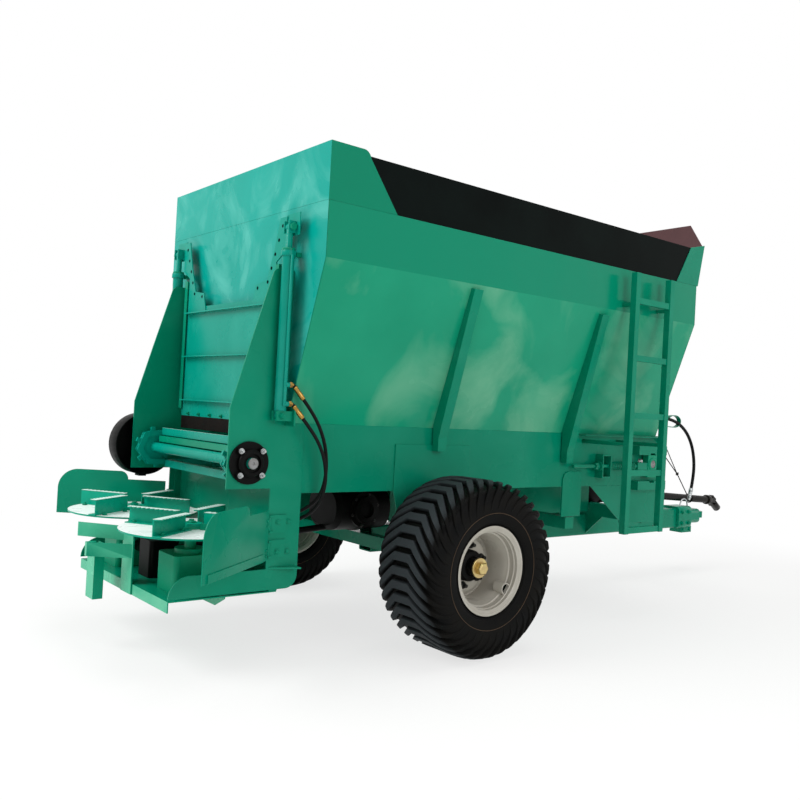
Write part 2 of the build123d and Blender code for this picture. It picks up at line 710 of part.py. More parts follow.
with BuildPart() as cylinder_brackets:
    for _, side in SIDES:
        y = side * cyl_half
        for dy in (-18, 18):
            with Locations(((wall_back + cyl_x - 30) / 2, y + dy, cyl_low)):
                Box(wall_back - cyl_x + 30, 10, 46)
        with Locations(Location((cyl_x, y, cyl_low), (90, 0, 0))):
            Cylinder(9.7, 50)
        with Locations((wall_back - 4, y, cyl_low)):
            Box(8, 80, 90)
        # steady for the gland
        steady_rear = cyl_x + cyl_r + 7 + seat
        with Locations(((wall_back + steady_rear) / 2, y, gland_z - 12)):
            Box(wall_back - steady_rear, 30, 20)
finish(cylinder_brackets, "cylinder_brackets")

with BuildPart() as cylinder_rods:
    for _, side in SIDES:
        with Locations((cyl_x, side * cyl_half, (cyl_low + 70 + rod_pin - 12) / 2)):
            Cylinder(rod_r, rod_pin - 12 - cyl_low - 70)
        with Locations(Location((cyl_x, side * cyl_half, rod_pin), (90, 0, 0))):
            Cylinder(pin_hole_r + 6, 34 - 2 * seat)
            Cylinder(pin_hole_r + seat, 40, mode=Mode.SUBTRACT)
finish(cylinder_rods, "cylinder_rods")

# ================================================================ conveyor
# wheels that carry the chain: six-toothed stars with a round notch between two teeth
with BuildPart() as drive_shaft:
    with Locations(Location((shaft_x, 0, shaft_z), (90, 0, 0))):
        Cylinder(shaft_r, 2 * (frame_half + 45))
    for side in (-1, 1):
        with BuildSketch(Plane(origin=(shaft_x, side * star_half, shaft_z), x_dir=(1, 0, 0), z_dir=(0, -1, 0))):
            Circle(star_body_r)
            with PolarLocations(star_tip_r - 20, 6, start_angle=star_turn):
                Rectangle(40, 22)
            with PolarLocations(chain_r, 6, start_angle=star_turn + 30):
                Circle(notch_r, mode=Mode.SUBTRACT)
            with PolarLocations(chain_r + 20, 6, start_angle=star_turn + 30):
                Rectangle(40, 2 * notch_r, mode=Mode.SUBTRACT)
        extrude(amount=star_t / 2, both=True)
finish(drive_shaft, "drive_shaft")

with BuildPart() as idler_shaft:
    with Locations(Location((idler_x, 0, shaft_z), (90, 0, 0))):
        Cylinder(shaft_r, 2 * (frame_half + 60))
    for side in (-1, 1):
        with Locations(Location((idler_x, side * star_half, shaft_z), (90, 0, 0))):
            Cylinder(chain_r - pin_r - seat, star_t)
finish(idler_shaft, "idler_shaft")


def chain_loop(radius):
    """Corners of the chain's loop at that radius round both shafts, one to each pin of the two wraps."""
    rear_turns = [star_turn + 30 + 60 * k for k in range(4)]
    wraps = [(shaft_x, turn) for turn in rear_turns] + [(idler_x, turn + 180) for turn in rear_turns]
    return [(x + radius * cos(radians(turn)), radius * sin(radians(turn))) for x, turn in wraps]


slat_count = int((idler_x - shaft_x) // slat_pitch)
run_z = chain_r * sin(radians(star_turn + 30))
# slat stations on the upper and the lower run, and which way is out from the loop
slats = [(shaft_x + 32 + slat_pitch * k, 1) for k in range(1, slat_count)]
slats += [(shaft_x + 57 + slat_pitch * k, -1) for k in range(1, slat_count)]
with BuildPart() as conveyor_chains:
    for y in (-star_half, star_half):
        for dy in (-(bar_gap + bar_t) / 2, (bar_gap + bar_t) / 2):
            with BuildSketch(Plane(origin=(0, y + dy, shaft_z), x_dir=(1, 0, 0), z_dir=(0, -1, 0))):
                with BuildLine():
                    Polyline(*chain_loop(chain_r + link_out), close=True)
                make_face()
                with BuildLine():
                    Polyline(*chain_loop(chain_r - link_in), close=True)
                make_face(mode=Mode.SUBTRACT)
            extrude(amount=bar_t / 2, both=True)
        pins = chain_loop(chain_r) + [(x, out * run_z) for x, out in slats]
        for x, z in pins:
            with Locations(Location((x, y, shaft_z + z), (90, 0, 0))):
                Cylinder(pin_r, bar_gap + 2)
finish(conveyor_chains, "conveyor_chains")

# slats: angle irons between the chains, the first pair just over the star wheels
slat_half = star_half - (bar_gap / 2 + bar_t) - seat
first_slats = [(shaft_x + 32, 1), (shaft_x + 57, -1)]
with BuildPart() as conveyor_slats:
    for x, out in first_slats + slats:
        inner_z = shaft_z + out * (run_z - 10)
        with Locations((x + slat_t / 2, 0, inner_z + out * slat_leg / 2)):
            Box(slat_t, 2 * slat_half, slat_leg)
        with Locations((x + slat_leg / 2, 0, inner_z + out * slat_t / 2)):
            Box(slat_leg, 2 * slat_half, slat_t)
finish(conveyor_slats, "conveyor_slats")

with BuildPart() as bearing:
    # radius and thickness of the flange, and of the ring on it
    for out, r, t in ((0, 98, 14), (14, 56, 16)):
        with BuildSketch(Plane(origin=(shaft_x, -frame_half - out, shaft_z), x_dir=(1, 0, 0), z_dir=(0, -1, 0))):
            Circle(r)
            Circle(shaft_r + seat, mode=Mode.SUBTRACT)
        extrude(amount=t)
finish(bearing, "bearing_flange")

guard_r = 170
guard_w = 110
with BuildPart() as chain_guard:
    for r, start, width, mode in ((guard_r, seat, guard_w, Mode.ADD), (guard_r - 5, -1, guard_w - 4, Mode.SUBTRACT)):
        with BuildSketch(Plane(origin=(shaft_x - 23, frame_half + start, shaft_z + 11), x_dir=(1, 0, 0), z_dir=(0, 1, 0))):
            Circle(r)
        extrude(amount=width, mode=mode)
    for dz in (-guard_r - 8, guard_r - 12):
        with Locations((shaft_x - 30, frame_half + 40, shaft_z + 11 + dz + 10)):
            Box(40, 60, 20)
finish(chain_guard, "chain_guard")

# take-up tensioners: rod and nut, bracket, spring, bearing block and its two guides
with BuildPart() as tensioners:
    for _, side in SIDES:
        y = side * (frame_half + 35)
        z = shaft_z - 14
        # start along X, length, radius
        for x, length, r in ((1155, 790, 12), (1360, 38, 20), (1500, 250, 26)):
            with Locations(Location((axle_x + x + length / 2, y, z), (0, 90, 0))):
                Cylinder(r, length)
        # middle along X and up, length, height
        blocks = ((1420, 0, 10, 150), (1500, 0, 10, 150), (1460, -70, 80, 10), (1460, 70, 80, 10),
                  (1950, 0, 100, 110), (1952, 105, 314, 60), (1952, -129, 314, 60))
        for x, dz, length, height in blocks:
            with Locations((axle_x + x, side * (frame_half + 30 + seat), z + dz)):
                Box(length, 60, height)
        for dz in (66, -77):
            with Locations((idler_x, side * (frame_half + 14 + seat), z + dz)):
                Box(40, 28, 44)
        with Locations(Location((idler_x, y, shaft_z), (90, 0, 0))):
            Cylinder(shaft_r + seat, 80, mode=Mode.SUBTRACT)
finish(tensioners, "tensioners")

# ================================================================ spinner drive and discs
gearbox_w = 200
mid_box = 150
with BuildPart() as gearboxes:
    for _, side in SIDES:
        y = side * disc_half
        with BuildSketch(Plane.XY.offset(deck_z + seat)):
            with Locations((disc_x, y)):
                RectangleRounded(230, gearbox_w, 25)
        extrude(amount=gearbox_top - deck_z - seat)
        with Locations((disc_x, y, gearbox_top + 10)):
            Cylinder(70, 22)
        with Locations((disc_x, y, (gearbox_top + 20 + disc_z - disc_t - seat) / 2)):
            Cylinder(26, disc_z - disc_t - seat - gearbox_top - 20)
finish(gearboxes, "gearboxes")

with BuildPart() as cross_shaft:
    with Locations(Location((disc_x, 0, gear_z), (90, 0, 0))):
        Cylinder(32, 2 * (disc_half - gearbox_w / 2 - seat))
    with BuildSketch(Plane.XY.offset(deck_z + seat)):
        with Locations((disc_x, 0)):
            RectangleRounded(mid_box, mid_box, 20)
    extrude(amount=500 - deck_z - seat)
finish(cross_shaft, "cross_shaft")

# line shaft from the middle gearbox to the front bearing, over the axle
line_start = (disc_x + mid_box / 2 + seat, gear_z + 12)
line_end = (pto_rear[0] - 2, pto_rear[1] - 2)
line_dir = Vector(line_end[0] - line_start[0], 0, line_end[1] - line_start[1])
with BuildPart() as line_shaft:
    with BuildSketch(Plane(origin=(line_start[0] + 2, 0, line_start[1]), x_dir=(0, 1, 0), z_dir=line_dir)):
        Circle(line_shaft_r)
    extrude(amount=line_dir.length - 5)
finish(line_shaft, "line_shaft")

vane_len = disc_r + 2 - vane_start
for name, side in SIDES:
    with BuildPart() as disc:
        y = side * disc_half
        with Locations((disc_x, y, disc_z - disc_t / 2)):
            Cylinder(disc_r, disc_t)
        with Locations((disc_x, y, disc_z + 12)):
            Cylinder(50, 26)
        for k in range(vane_count):
            turn = radians(vane_turn + 360 * k / vane_count)
            base = Plane(origin=(disc_x, y, disc_z - 0.5), x_dir=(cos(turn), sin(turn), 0), z_dir=(0, 0, 1))
            # web, then the flange on the disc: width across the vane, height
            for width, height in ((vane_t, vane_h), (40, vane_t)):
                with BuildSketch(base):
                    with Locations((vane_start + vane_len / 2, -side * width / 2)):
                        Rectangle(vane_len, width)
                extrude(amount=height)
            # top flange with saw teeth along its free edge
            with BuildSketch(base.offset(vane_h - vane_t)):
                with BuildLine():
                    pitch = vane_len / vane_teeth
                    edge = [(vane_start + vane_len, -side * 24), (vane_start + vane_len, 0), (vane_start, 0)]
                    for i in range(vane_teeth):
                        edge += [(vane_start + pitch * i, -side * 24), (vane_start + pitch * (i + 0.5), -side * 34)]
                    Polyline(*edge, close=True)
                make_face()
            extrude(amount=vane_t)
    finish(disc, f"spinner_disc_{name}")

# ================================================================ flaps
hinge_zs = (520, 635)
# name ending, side, lower edge, upper edge, length
for name, side, low, top, length in (("right", -1, 470, 745, 640), ("left", 1, 515, 765, 612)):
    hinge_y = side * (frame_half + flap_off)
    out = radians(flap_deg)
    flap_plane = Plane(origin=(flap_hinge, hinge_y, 0), x_dir=(-cos(out), side * sin(out), 0),
                       z_dir=(side * sin(out), cos(out), 0))
    grow = 1 if side * flap_plane.z_dir.Y > 0 else -1
    with BuildPart() as flap:
        with BuildSketch(flap_plane):
            with BuildLine():
                r = flap_corner_r
                Polyline((14, low), (length, low), (length, top - r))
                ThreePointArc((length, top - r), (length - r * 0.293, top - r * 0.293), (length - r, top))
                Polyline((length - r, top), (270, top))
                ThreePointArc((270, top), (238, top - 12), (224, top - 45))
                Polyline((224, top - 45), (14, top - 45), (14, low))
            make_face()
        extrude(amount=flap_t / 2, both=True)
        # angle iron along the lower edge, outside
        with BuildSketch(flap_plane):
            with Locations(((60 + length - 40) / 2, low + 18)):
                Rectangle(length - 100, 36)
        extrude(amount=grow * (flap_t / 2 + 5))
        for z in hinge_zs:
            with Locations((flap_hinge, hinge_y, z)):
                Cylinder(hinge_pin_r + 5, 60)
            with BuildSketch(flap_plane):
                with Locations((20, z)):
                    Rectangle(40, 50)
            extrude(amount=2, both=True)
            with Locations((flap_hinge, hinge_y, z)):
                Cylinder(hinge_pin_r + seat, 70, mode=Mode.SUBTRACT)
    finish(flap, f"flap_{name}")

with BuildPart() as flap_hinges:
    for _, side in SIDES:
        hinge_y = side * (frame_half + flap_off)
        for z in hinge_zs:
            with Locations((flap_hinge + 50, side * (frame_half + 4 + seat), z)):
                Box(80, 8, 2 * hinge_half)
            for dz in (-36, 36):
                with Locations((flap_hinge + 8, hinge_y, z + dz)):
                    Box(20, 19, 10)
            with Locations((flap_hinge, hinge_y, z)):
                Cylinder(hinge_pin_r, 2 * hinge_half - 2)
finish(flap_hinges, "flap_hinges")

# ================================================================ rear stand bracket
post_rear = deck_rear - 8 - seat
leg_x = tail_x + 70
with BuildPart() as stand_bracket:
    with Locations((deck_rear - 4 - seat, -97, 415)):
        Box(8, 125, 285)
    # two slanting straps from the post: inner y, outer x and y, underside, top
    for y0, x1, y1, low, high in ((-40, tail_x + 17, 155, 508, 575), (-150, tail_x, -22, 440, 505)):
        with BuildSketch(Plane.XY.offset(low)):
            with BuildLine():
                Polyline((post_rear + 1, y0 - 4), (post_rear + 1, y0 + 4), (x1, y1 + 4), (x1, y1 - 4), close=True)
            make_face()
        extrude(amount=high - low)
    # block from the lower strap to the leg tube
    with Locations((leg_x - 47, -14, 472.5)):
        Box(46, 24, 65)
    with Locations((leg_x, 40, 360)):
        Box(48, 95, 260)
        Box(40, 87, 262, mode=Mode.SUBTRACT)
finish(stand_bracket, "stand_bracket")

# ================================================================ tow head and drive shaft
with BuildPart() as tow_head:
    # start along X from the beam's end, length, width, height, corner radius
    for start, length, width, height, r in ((seat, 180, 170, 176, 34), (180, 160, 120, 116, 30)):
        with BuildSketch(cross_plane(beam_front + start, beam_z + 5)):
            RectangleRounded(width, height, r)
        extrude(amount=length)
    with Locations((beam_front + 160, 0, beam_z - 98)):
        Box(140, 110, 50)
finish(tow_head, "tow_head")

shank_rear = beam_front + 340 + seat
with BuildPart() as tow_eye:
    with Locations((eye_x, 0, eye_z)):
        Cylinder(eye_r + 20, 52)
    with Locations(((shank_rear + eye_x - eye_r) / 2, 0, eye_z)):
        Box(eye_x - eye_r - shank_rear, 60, 50)
    with Locations((eye_x, 0, eye_z)):
        Cylinder(eye_r, 60, mode=Mode.SUBTRACT)
finish(tow_eye, "tow_eye")

# shaft, and a universal joint whose front yoke hangs down from the cross
droop = radians(yoke_droop)
yoke_len = (nose_x - yoke_r * sin(droop) - joint_x) / cos(droop)
arm_r = 30
rear_yoke = Plane(origin=(joint_x, 0, joint_z), x_dir=(0, 1, 0), z_dir=pto_dir)
front_yoke = Plane(origin=(joint_x, 0, joint_z), x_dir=(0, 1, 0), z_dir=(cos(droop), 0, -sin(droop)))
with BuildPart() as pto_shaft:
    with BuildSketch(Plane(origin=(pto_rear[0], 0, pto_rear[1]), x_dir=(0, 1, 0), z_dir=pto_dir)):
        Circle(pto_r)
    extrude(amount=hypot(pto_dir[0], pto_dir[2]) - 78)
    # plane of each yoke, its hub's start, length and radius, arm places and sizes, arm start
    yokes = ((rear_yoke, -80, 42, 40, ((-arm_r, 0), (arm_r, 0)), (14, 40), -40),
             (front_yoke, 38, yoke_len - 38, yoke_r, ((0, -arm_r), (0, arm_r)), (40, 14), -20))
    for plane, start, length, r, arms, arm_size, arm_start in yokes:
        with BuildSketch(plane.offset(start)):
            Circle(r)
        extrude(amount=length)
        with BuildSketch(plane.offset(arm_start)):
            with Locations(*arms):
                Rectangle(*arm_size)
        extrude(amount=60)
    # the cross: one trunnion across the machine, one in the front yoke's arms, and its middle
    with Locations(Location((joint_x, 0, joint_z), (90, 0, 0))):
        Cylinder(12, 2 * arm_r + 6)
    with BuildSketch(Plane(origin=(joint_x, 0, joint_z), x_dir=(0, 1, 0), z_dir=front_yoke.y_dir)):
        Circle(12)
    extrude(amount=arm_r + 3, both=True)
    with BuildSketch(front_yoke.offset(yoke_len - 50)):
        Circle(yoke_bore_r)
    extrude(amount=51, mode=Mode.SUBTRACT)
finish(pto_shaft, "pto_shaft")

# sling that holds the drive shaft up: a ring round the shaft and two strands to the front wall
shaft_z_there = pto_rear[1] + (sling_x - pto_rear[0]) * pto_dir[2] / pto_dir[0]
knot = (sling_x - 185, 0, 787)
ring_top = (sling_x - 2, 0, shaft_z_there + pto_r + sling_r + 1)
strands = [(knot, ring_top)]
strands += [(knot, (wall_front + 27, y, z - 4)) for y, z in sling_hooks]
with BuildPart() as shaft_sling:
    with Locations(Location((sling_x, 0, shaft_z_there), (0, 90, 0))):
        Torus(pto_r + sling_r + seat, sling_r)
    with Locations(knot):
        Sphere(sling_r + 4)
    for start, end in strands:
        reach = Vector(*end) - Vector(*start)
        with BuildSketch(Plane(origin=start, z_dir=reach)):
            Circle(sling_r)
        extrude(amount=reach.length)
finish(shaft_sling, "shaft_sling")

# ================================================================ hoses
# Routes as (forward of the tail or the axle, across, up).
port_y = -(cyl_half + cyl_r + pipe_r)
upper_hose = [(670.3, port_y, 1284), (735, port_y, 1284), (795, -640, 1240), (840, -645, 1165), (872, -643, 1060),
              (900, -635, 945), (908, -622, 835), (892, -590, 745), (848, -535, 690), (785, -490, 662),
              (740, -466, 652)]
lower_hose = [(670.3, port_y, 1196), (735, port_y, 1196), (795, -648, 1155), (838, -662, 1075), (868, -668, 970),
              (884, -664, 860), (880, -645, 760), (862, -598, 690), (824, -535, 645), (782, -500, 622),
              (740, -478, 608)]
front_route = [(2076, -553, 1236), (2165, -553, 1236), (2300, -560, 1213), (2420, -562, 1150),
               (2505, -561, 1050), (2546, -559, 930), (2548, -556, 820), (2533, -553, 740)]
# node, routes in it, where x starts, diameter, ferrules at the far ends
hoses = (("gate_hoses", (upper_hose, lower_hose), tail_x, gate_hose_d, True),
         ("front_hose", (front_route,), axle_x, front_hose_d, False))
for node, routes, start_x, diameter, ferrules in hoses:
    with BuildPart() as hose:
        for route in routes:
            points = [(start_x + x, y, z) for x, y, z in route]
            radii = bend_radii(points)
            with BuildLine() as path:
                FilletPolyline(*points, radius=radii)
            centreline = path.wires()[0]
            with BuildSketch(Plane(origin=centreline @ 0, z_dir=centreline % 0)):
                Circle(diameter / 2)
            sweep(path=centreline)
            print(node, "radii", [round(r) for r in radii], "length", round(centreline.length),
                  "section times length", round(pi * diameter ** 2 / 4 * centreline.length))
        print(node, "volume", round(hose.part.volume))
        # the ferrule reaches the apron wall with its nearest edge
        for route in routes if ferrules else ():
            end = Vector(start_x + route[-1][0], *route[-1][1:])
            end_dir = end - Vector(start_x + route[-2][0], *route[-2][1:])
            with BuildSketch(Plane(origin=end, z_dir=end_dir).offset(-26)):
                Circle(diameter / 2 + 4)
            extrude(amount=26 + ferrule_reach)
    finish(hose, node)

# quick coupler on the end of the front hose: start, length, radius along the hose's last run
coupler_at = Vector(axle_x + front_route[-1][0], *front_route[-1][1:])
coupler_dir = coupler_at - Vector(axle_x + front_route[-2][0], *front_route[-2][1:])
with BuildPart() as hose_coupler:
    for start, length, r in ((seat, 26, 15), (26, 14, 17), (40, 34, 12.5), (74, 12, 9)):
        with BuildSketch(Plane(origin=coupler_at, z_dir=coupler_dir).offset(start)):
            Circle(r)
        extrude(amount=length)
finish(hose_coupler, "hose_coupler")

# ================================================================ parking jack
with BuildPart() as jack:
    # middle height, width along X and Y, height
    for z, along, across, height in ((420, jack_tube, jack_tube, 400), (120, 50, 50, 230), (6, 180, 140, 12)):
        with Locations((jack_x, jack_y, z)):
            Box(along, across, height)
    with Locations(Location((jack_x, jack_y, jack_pivot_z), (90, 0, 0))):
        Cylinder(10, 100, mode=Mode.SUBTRACT)
finish(jack, "jack_leg")
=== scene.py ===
"""Dresses and lights a trailed manure spreader with a chain floor and twin spinner discs.

Sizes are in metres in the machine's own frame: +X forward, +Y to its left, +Z up, ground at 0.
"""

from __future__ import annotations

import json
import logging
from collections.abc import Iterable, Sequence
from dataclasses import dataclass
from enum import Enum
from math import cos, pi, radians, sin, tau

import bmesh
import bpy
import numpy as np
from mathutils import Matrix


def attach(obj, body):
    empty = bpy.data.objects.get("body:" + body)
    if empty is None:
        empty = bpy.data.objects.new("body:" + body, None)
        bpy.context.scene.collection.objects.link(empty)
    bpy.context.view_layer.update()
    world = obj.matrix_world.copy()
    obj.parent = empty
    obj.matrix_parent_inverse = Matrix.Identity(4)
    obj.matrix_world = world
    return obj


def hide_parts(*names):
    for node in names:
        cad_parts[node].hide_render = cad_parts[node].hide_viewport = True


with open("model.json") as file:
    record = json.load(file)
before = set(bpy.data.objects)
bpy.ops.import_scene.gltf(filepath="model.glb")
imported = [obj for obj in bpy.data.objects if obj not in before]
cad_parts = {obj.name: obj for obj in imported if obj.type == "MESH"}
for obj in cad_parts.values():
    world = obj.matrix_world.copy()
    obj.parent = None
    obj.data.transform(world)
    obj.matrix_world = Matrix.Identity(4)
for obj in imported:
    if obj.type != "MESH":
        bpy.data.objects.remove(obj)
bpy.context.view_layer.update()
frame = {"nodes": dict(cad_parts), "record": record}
LOG = logging.getLogger("spreader")

Tree = bpy.types.NodeTree
Socket = bpy.types.NodeSocket
Vector = Sequence[float]
Profile = Sequence[Vector]

AXLE_X = -1.125
AXLE_Z = 0.437
TAIL_X = -2.725
SIDES = (("right", -1), ("left", 1))
X_DIR, Y_DIR, Z_DIR = np.eye(3)
SEAT = 0.0003  # clearance under a piece that sits on another
SWELL_MM = 1000 / 3.2  # width of the swells in thin sheet
PAINTED_SHEEN_ROUGHENS = 0.35  # what a full film of painted sheen adds to the roughness
PAINTED_SHEEN_EDGE = (0.47, 0.72)  # height of the noise where the painted sheen starts, and where it is full
CLOUD_EDGE = (0.3, 0.7)  # the same for the shade
NODE_MERGE = 1e-5  # points of a node closer than this become one
PIECE_MERGE = 2e-6  # points of a piece closer than this become one
NODE_EDGE = 0.0015  # rounding on the edges of sheet and bar work


# ---------------------------------------------------------------- finishes
def linear(hex_colour: str) -> tuple[float, float, float, float]:
    """Turn an sRGB hex colour into linear RGBA."""
    parts = np.array([int(hex_colour[i : i + 2], 16) for i in (1, 3, 5)]) / 255
    low, high = parts / 12.92, ((parts + 0.055) / 1.055) ** 2.4
    return (*np.where(parts <= 0.04045, low, high).tolist(), 1.0)


def add_node(tree: Tree, kind: str, inputs: dict | None = None, **settings: object) -> bpy.types.Node:
    """Add a shader node with its settings, values and links.

    Args:
        tree: The node tree to add to.
        kind: The node's type name, without the leading ShaderNode.
        inputs: Socket name or number to a value, or to the output socket to link from.
        settings: Attributes of the node itself.

    Returns:
        The new node.
    """
    node = tree.nodes.new(f"ShaderNode{kind}")
    for name, value in settings.items():
        setattr(node, name, value)
    for key, value in (inputs or {}).items():
        if isinstance(value, Socket):
            tree.links.new(value, node.inputs[key])
        else:
            node.inputs[key].default_value = value
    return node


def cleared(owner: bpy.types.Material | bpy.types.World) -> Tree:
    """Give a material or world an empty node tree."""
    owner.use_nodes = True
    owner.node_tree.nodes.clear()
    return owner.node_tree


def mix(tree: Tree, share: Socket, base: Socket | tuple, other: Socket | tuple) -> Socket:
    """Mix two colours: base where share is 0, the other where it is 1."""
    return add_node(tree, "Mix", {0: share, 6: base, 7: other}, data_type="RGBA").outputs[2]


def ramp(tree: Tree, value: Socket, start: float, end: float, low: float = 0.0, high: float = 1.0) -> Socket:
    """Grow evenly from low to high while the value goes from start to end."""
    inputs = {"Value": value, "From Min": start, "From Max": end, "To Min": low, "To Max": high}
    return add_node(tree, "MapRange", inputs).outputs[0]


def sums(tree: Tree, operation: str, *values: Socket | float) -> Socket:
    """Do one operation of arithmetic on the values."""
    return add_node(tree, "Math", dict(enumerate(values)), operation=operation).outputs[0]


def noise(tree: Tree, place: Socket, spot_mm: float, detail: float, swirl: float = 0.0) -> Socket:
    """Soft noise with spots of about that width."""
    inputs = {"Vector": place, "Scale": 1000 / spot_mm, "Detail": detail, "Distortion": swirl}
    return add_node(tree, "TexNoise", inputs).outputs[0]


def normal_along(tree: Tree, axis: int) -> Socket:
    """The part of the surface's normal that lies along X, Y or Z."""
    normal = add_node(tree, "NewGeometry").outputs["Normal"]
    return add_node(tree, "SeparateXYZ", {0: normal}).outputs[axis]


class Grain(Enum):
    """How a surface was made, with how far its fine relief is drawn out along X."""

    SPRAYED = ("sprayed", 1.0)
    SAND_CAST = ("cast in sand", 1.0)
    MOULDED = ("moulded", 1.0)
    TURNED = ("turned", 0.06)
    ROLLED = ("rolled", 0.15)


@dataclass(frozen=True)
class Finish:
    """One material: what it is, how it was made, and what that gives the eye."""

    name: str
    colour: str
    shade: str
    roughness: float
    grain: Grain = Grain.SPRAYED
    grain_mm: float = 3.0
    relief_mm: float = 0.05
    cloud_mm: float = 400.0
    metallic: float = 0.0
    gloss: float = 0.5
    rough_spread: float = 0.06
    wave_mm: float = 0.0
    # Painted sheen: a pale film laid into the colour in patches, for reflections of the bright floor and
    # lamps; it also roughens the surface where it lies.
    painted_sheen: str = "#FFFFFF"
    painted_sheen_share: float = 0.0
    painted_sheen_mm: float = 350.0
    painted_sheen_swirl: float = 0.6
    # facing and away paint light and shade by the way a face turns.
    facing: tuple[int, float, float] | None = None
    away: str = "#000000"

    def colour_socket(self, tree: Tree, place: Socket, cloud: Socket) -> tuple[Socket, Socket | None]:
        """Colour over the surface: base and shade mixed by the cloud, then a thin pale film of painted sheen
        for reflections.

        Where facing is given, as an axis with the part of the normal along it where the colour starts and
        where it is full, light is painted by the way a face turns: faces turned that way get the colour, and
        the rest of the surface has the colour away and no painted sheen.

        Args:
            tree: The material's node tree.
            place: Point of the surface.
            cloud: Slow change over the surface, 0 to 1.

        Returns:
            The colour, and the share of painted sheen where there is any.
        """
        mixed = mix(tree, cloud, linear(self.colour), linear(self.shade))
        mask = None
        # Painted light and shade: faces turned along facing keep the colour, the others get the colour away.
        if self.facing is not None:
            axis, starts, full = self.facing
            mask = ramp(tree, normal_along(tree, axis), starts, full)
            mixed = mix(tree, mask, linear(self.away), mixed)
        # Painted sheen: pale patches for reflections, laid over the colour.
        if self.painted_sheen_share <= 0:
            return mixed, None
        sheen_noise = noise(tree, place, self.painted_sheen_mm, 5.0, self.painted_sheen_swirl)
        sheen_film = ramp(tree, sheen_noise, *PAINTED_SHEEN_EDGE, 0.0, self.painted_sheen_share)
        if mask is not None:
            sheen_film = sums(tree, "MULTIPLY", sheen_film, mask)
        return mix(tree, sheen_film, mixed, linear(self.painted_sheen)), sheen_film

    def relief(self, tree: Tree, place: Socket) -> Socket:
        """Normal with the fine grain, over the slow swell of thin sheet where there is one."""
        drawn = (self.grain.value[1], 1.0, 1.0)
        run = add_node(tree, "Mapping", {"Vector": place, "Scale": drawn}).outputs[0]
        fine = noise(tree, run, self.grain_mm, 2.0)
        inputs = {"Height": fine, "Distance": self.relief_mm / 1000, "Strength": 1.0}
        normal = add_node(tree, "Bump", inputs).outputs[0]
        if self.wave_mm > 0:
            swell = noise(tree, place, SWELL_MM, 1.0)
            inputs = {"Height": swell, "Distance": self.wave_mm / 1000, "Strength": 1.0, "Normal": normal}
            normal = add_node(tree, "Bump", inputs).outputs[0]
        return normal

    def material(self) -> bpy.types.Material:
        """Make the material once, and give the same one to every piece that asks."""
        if self.name in bpy.data.materials:
            return bpy.data.materials[self.name]
        made = bpy.data.materials.new(self.name)
        tree = cleared(made)
        place = add_node(tree, "TexCoord").outputs["Object"]
        cloud = ramp(tree, noise(tree, place, self.cloud_mm, 4.0), *CLOUD_EDGE)
        colour, sheen_film = self.colour_socket(tree, place, cloud)
        smoothest = max(self.roughness - self.rough_spread, 0.03)
        rough = ramp(tree, cloud, 0.0, 1.0, smoothest, self.roughness + self.rough_spread)
        if sheen_film is not None:
            rough = sums(tree, "MULTIPLY_ADD", sheen_film, PAINTED_SHEEN_ROUGHENS, rough)
        inputs = {
            "Base Color": colour,
            "Roughness": rough,
            "Normal": self.relief(tree, place),
            "Metallic": self.metallic,
            "Specular IOR Level": self.gloss,
        }
        shader = add_node(tree, "BsdfPrincipled", inputs)
        add_node(tree, "OutputMaterial", {"Surface": shader.outputs[0]})
        return made


@dataclass(frozen=True)
class DiscFinish(Finish):
    """Spinner disc: a painted reflection of the bright sky on its flat top, the enamel on vanes and rim."""

    bright: str = "#F6FBF9"
    top: float = 0.602

    def colour_socket(self, tree: Tree, place: Socket, cloud: Socket) -> tuple[Socket, Socket | None]:
        """Painted reflection where the surface faces up and lies no higher than the disc's top."""
        base, _ = super().colour_socket(tree, place, cloud)
        height = add_node(tree, "SeparateXYZ", {0: place}).outputs[2]
        low = sums(tree, "LESS_THAN", height, self.top)
        flat = sums(tree, "GREATER_THAN", normal_along(tree, 2), 0.9)
        return mix(tree, sums(tree, "MULTIPLY", low, flat), base, linear(self.bright)), None


@dataclass(frozen=True)
class TreadFinish(Finish):
    """Tyre lugs: paler on their tops, the farthest from the axle."""

    outer_tone: str = "#33373A"
    axle: tuple[float, float, float] = (AXLE_X, 0.0, AXLE_Z)
    outer_from: float = 0.416
    outer_full: float = 0.434

    def colour_socket(self, tree: Tree, place: Socket, cloud: Socket) -> tuple[Socket, Socket | None]:
        """Paler as the distance from the wheel's axis goes from outer_from to outer_full."""
        base, sheen_film = super().colour_socket(tree, place, cloud)
        out = add_node(tree, "VectorMath", {0: place, 1: self.axle}, operation="SUBTRACT").outputs[0]
        flat = add_node(tree, "VectorMath", {0: out, 1: (1, 0, 1)}, operation="MULTIPLY").outputs[0]
        reach = add_node(tree, "VectorMath", {0: flat}, operation="LENGTH").outputs["Value"]
        top = ramp(tree, reach, self.outer_from, self.outer_full)
        return mix(tree, top, base, linear(self.outer_tone)), sheen_film


# Alkyd enamel sprayed on sheet steel: wet gloss, faint orange peel at 4 mm, and the slow
# swell of thin sheet between its welds, which breaks reflections into soft patches.
# Its pale film, at a tenth, is painted sheen for reflections of the bright floor.
ENAMEL = Finish(
    "gloss_enamel_on_steel", "#008A6B", "#008264", 0.26, grain_mm=4, relief_mm=0.04, gloss=0.12,
    wave_mm=2.2, painted_sheen="#4FB398", painted_sheen_share=0.10, painted_sheen_mm=300,
)
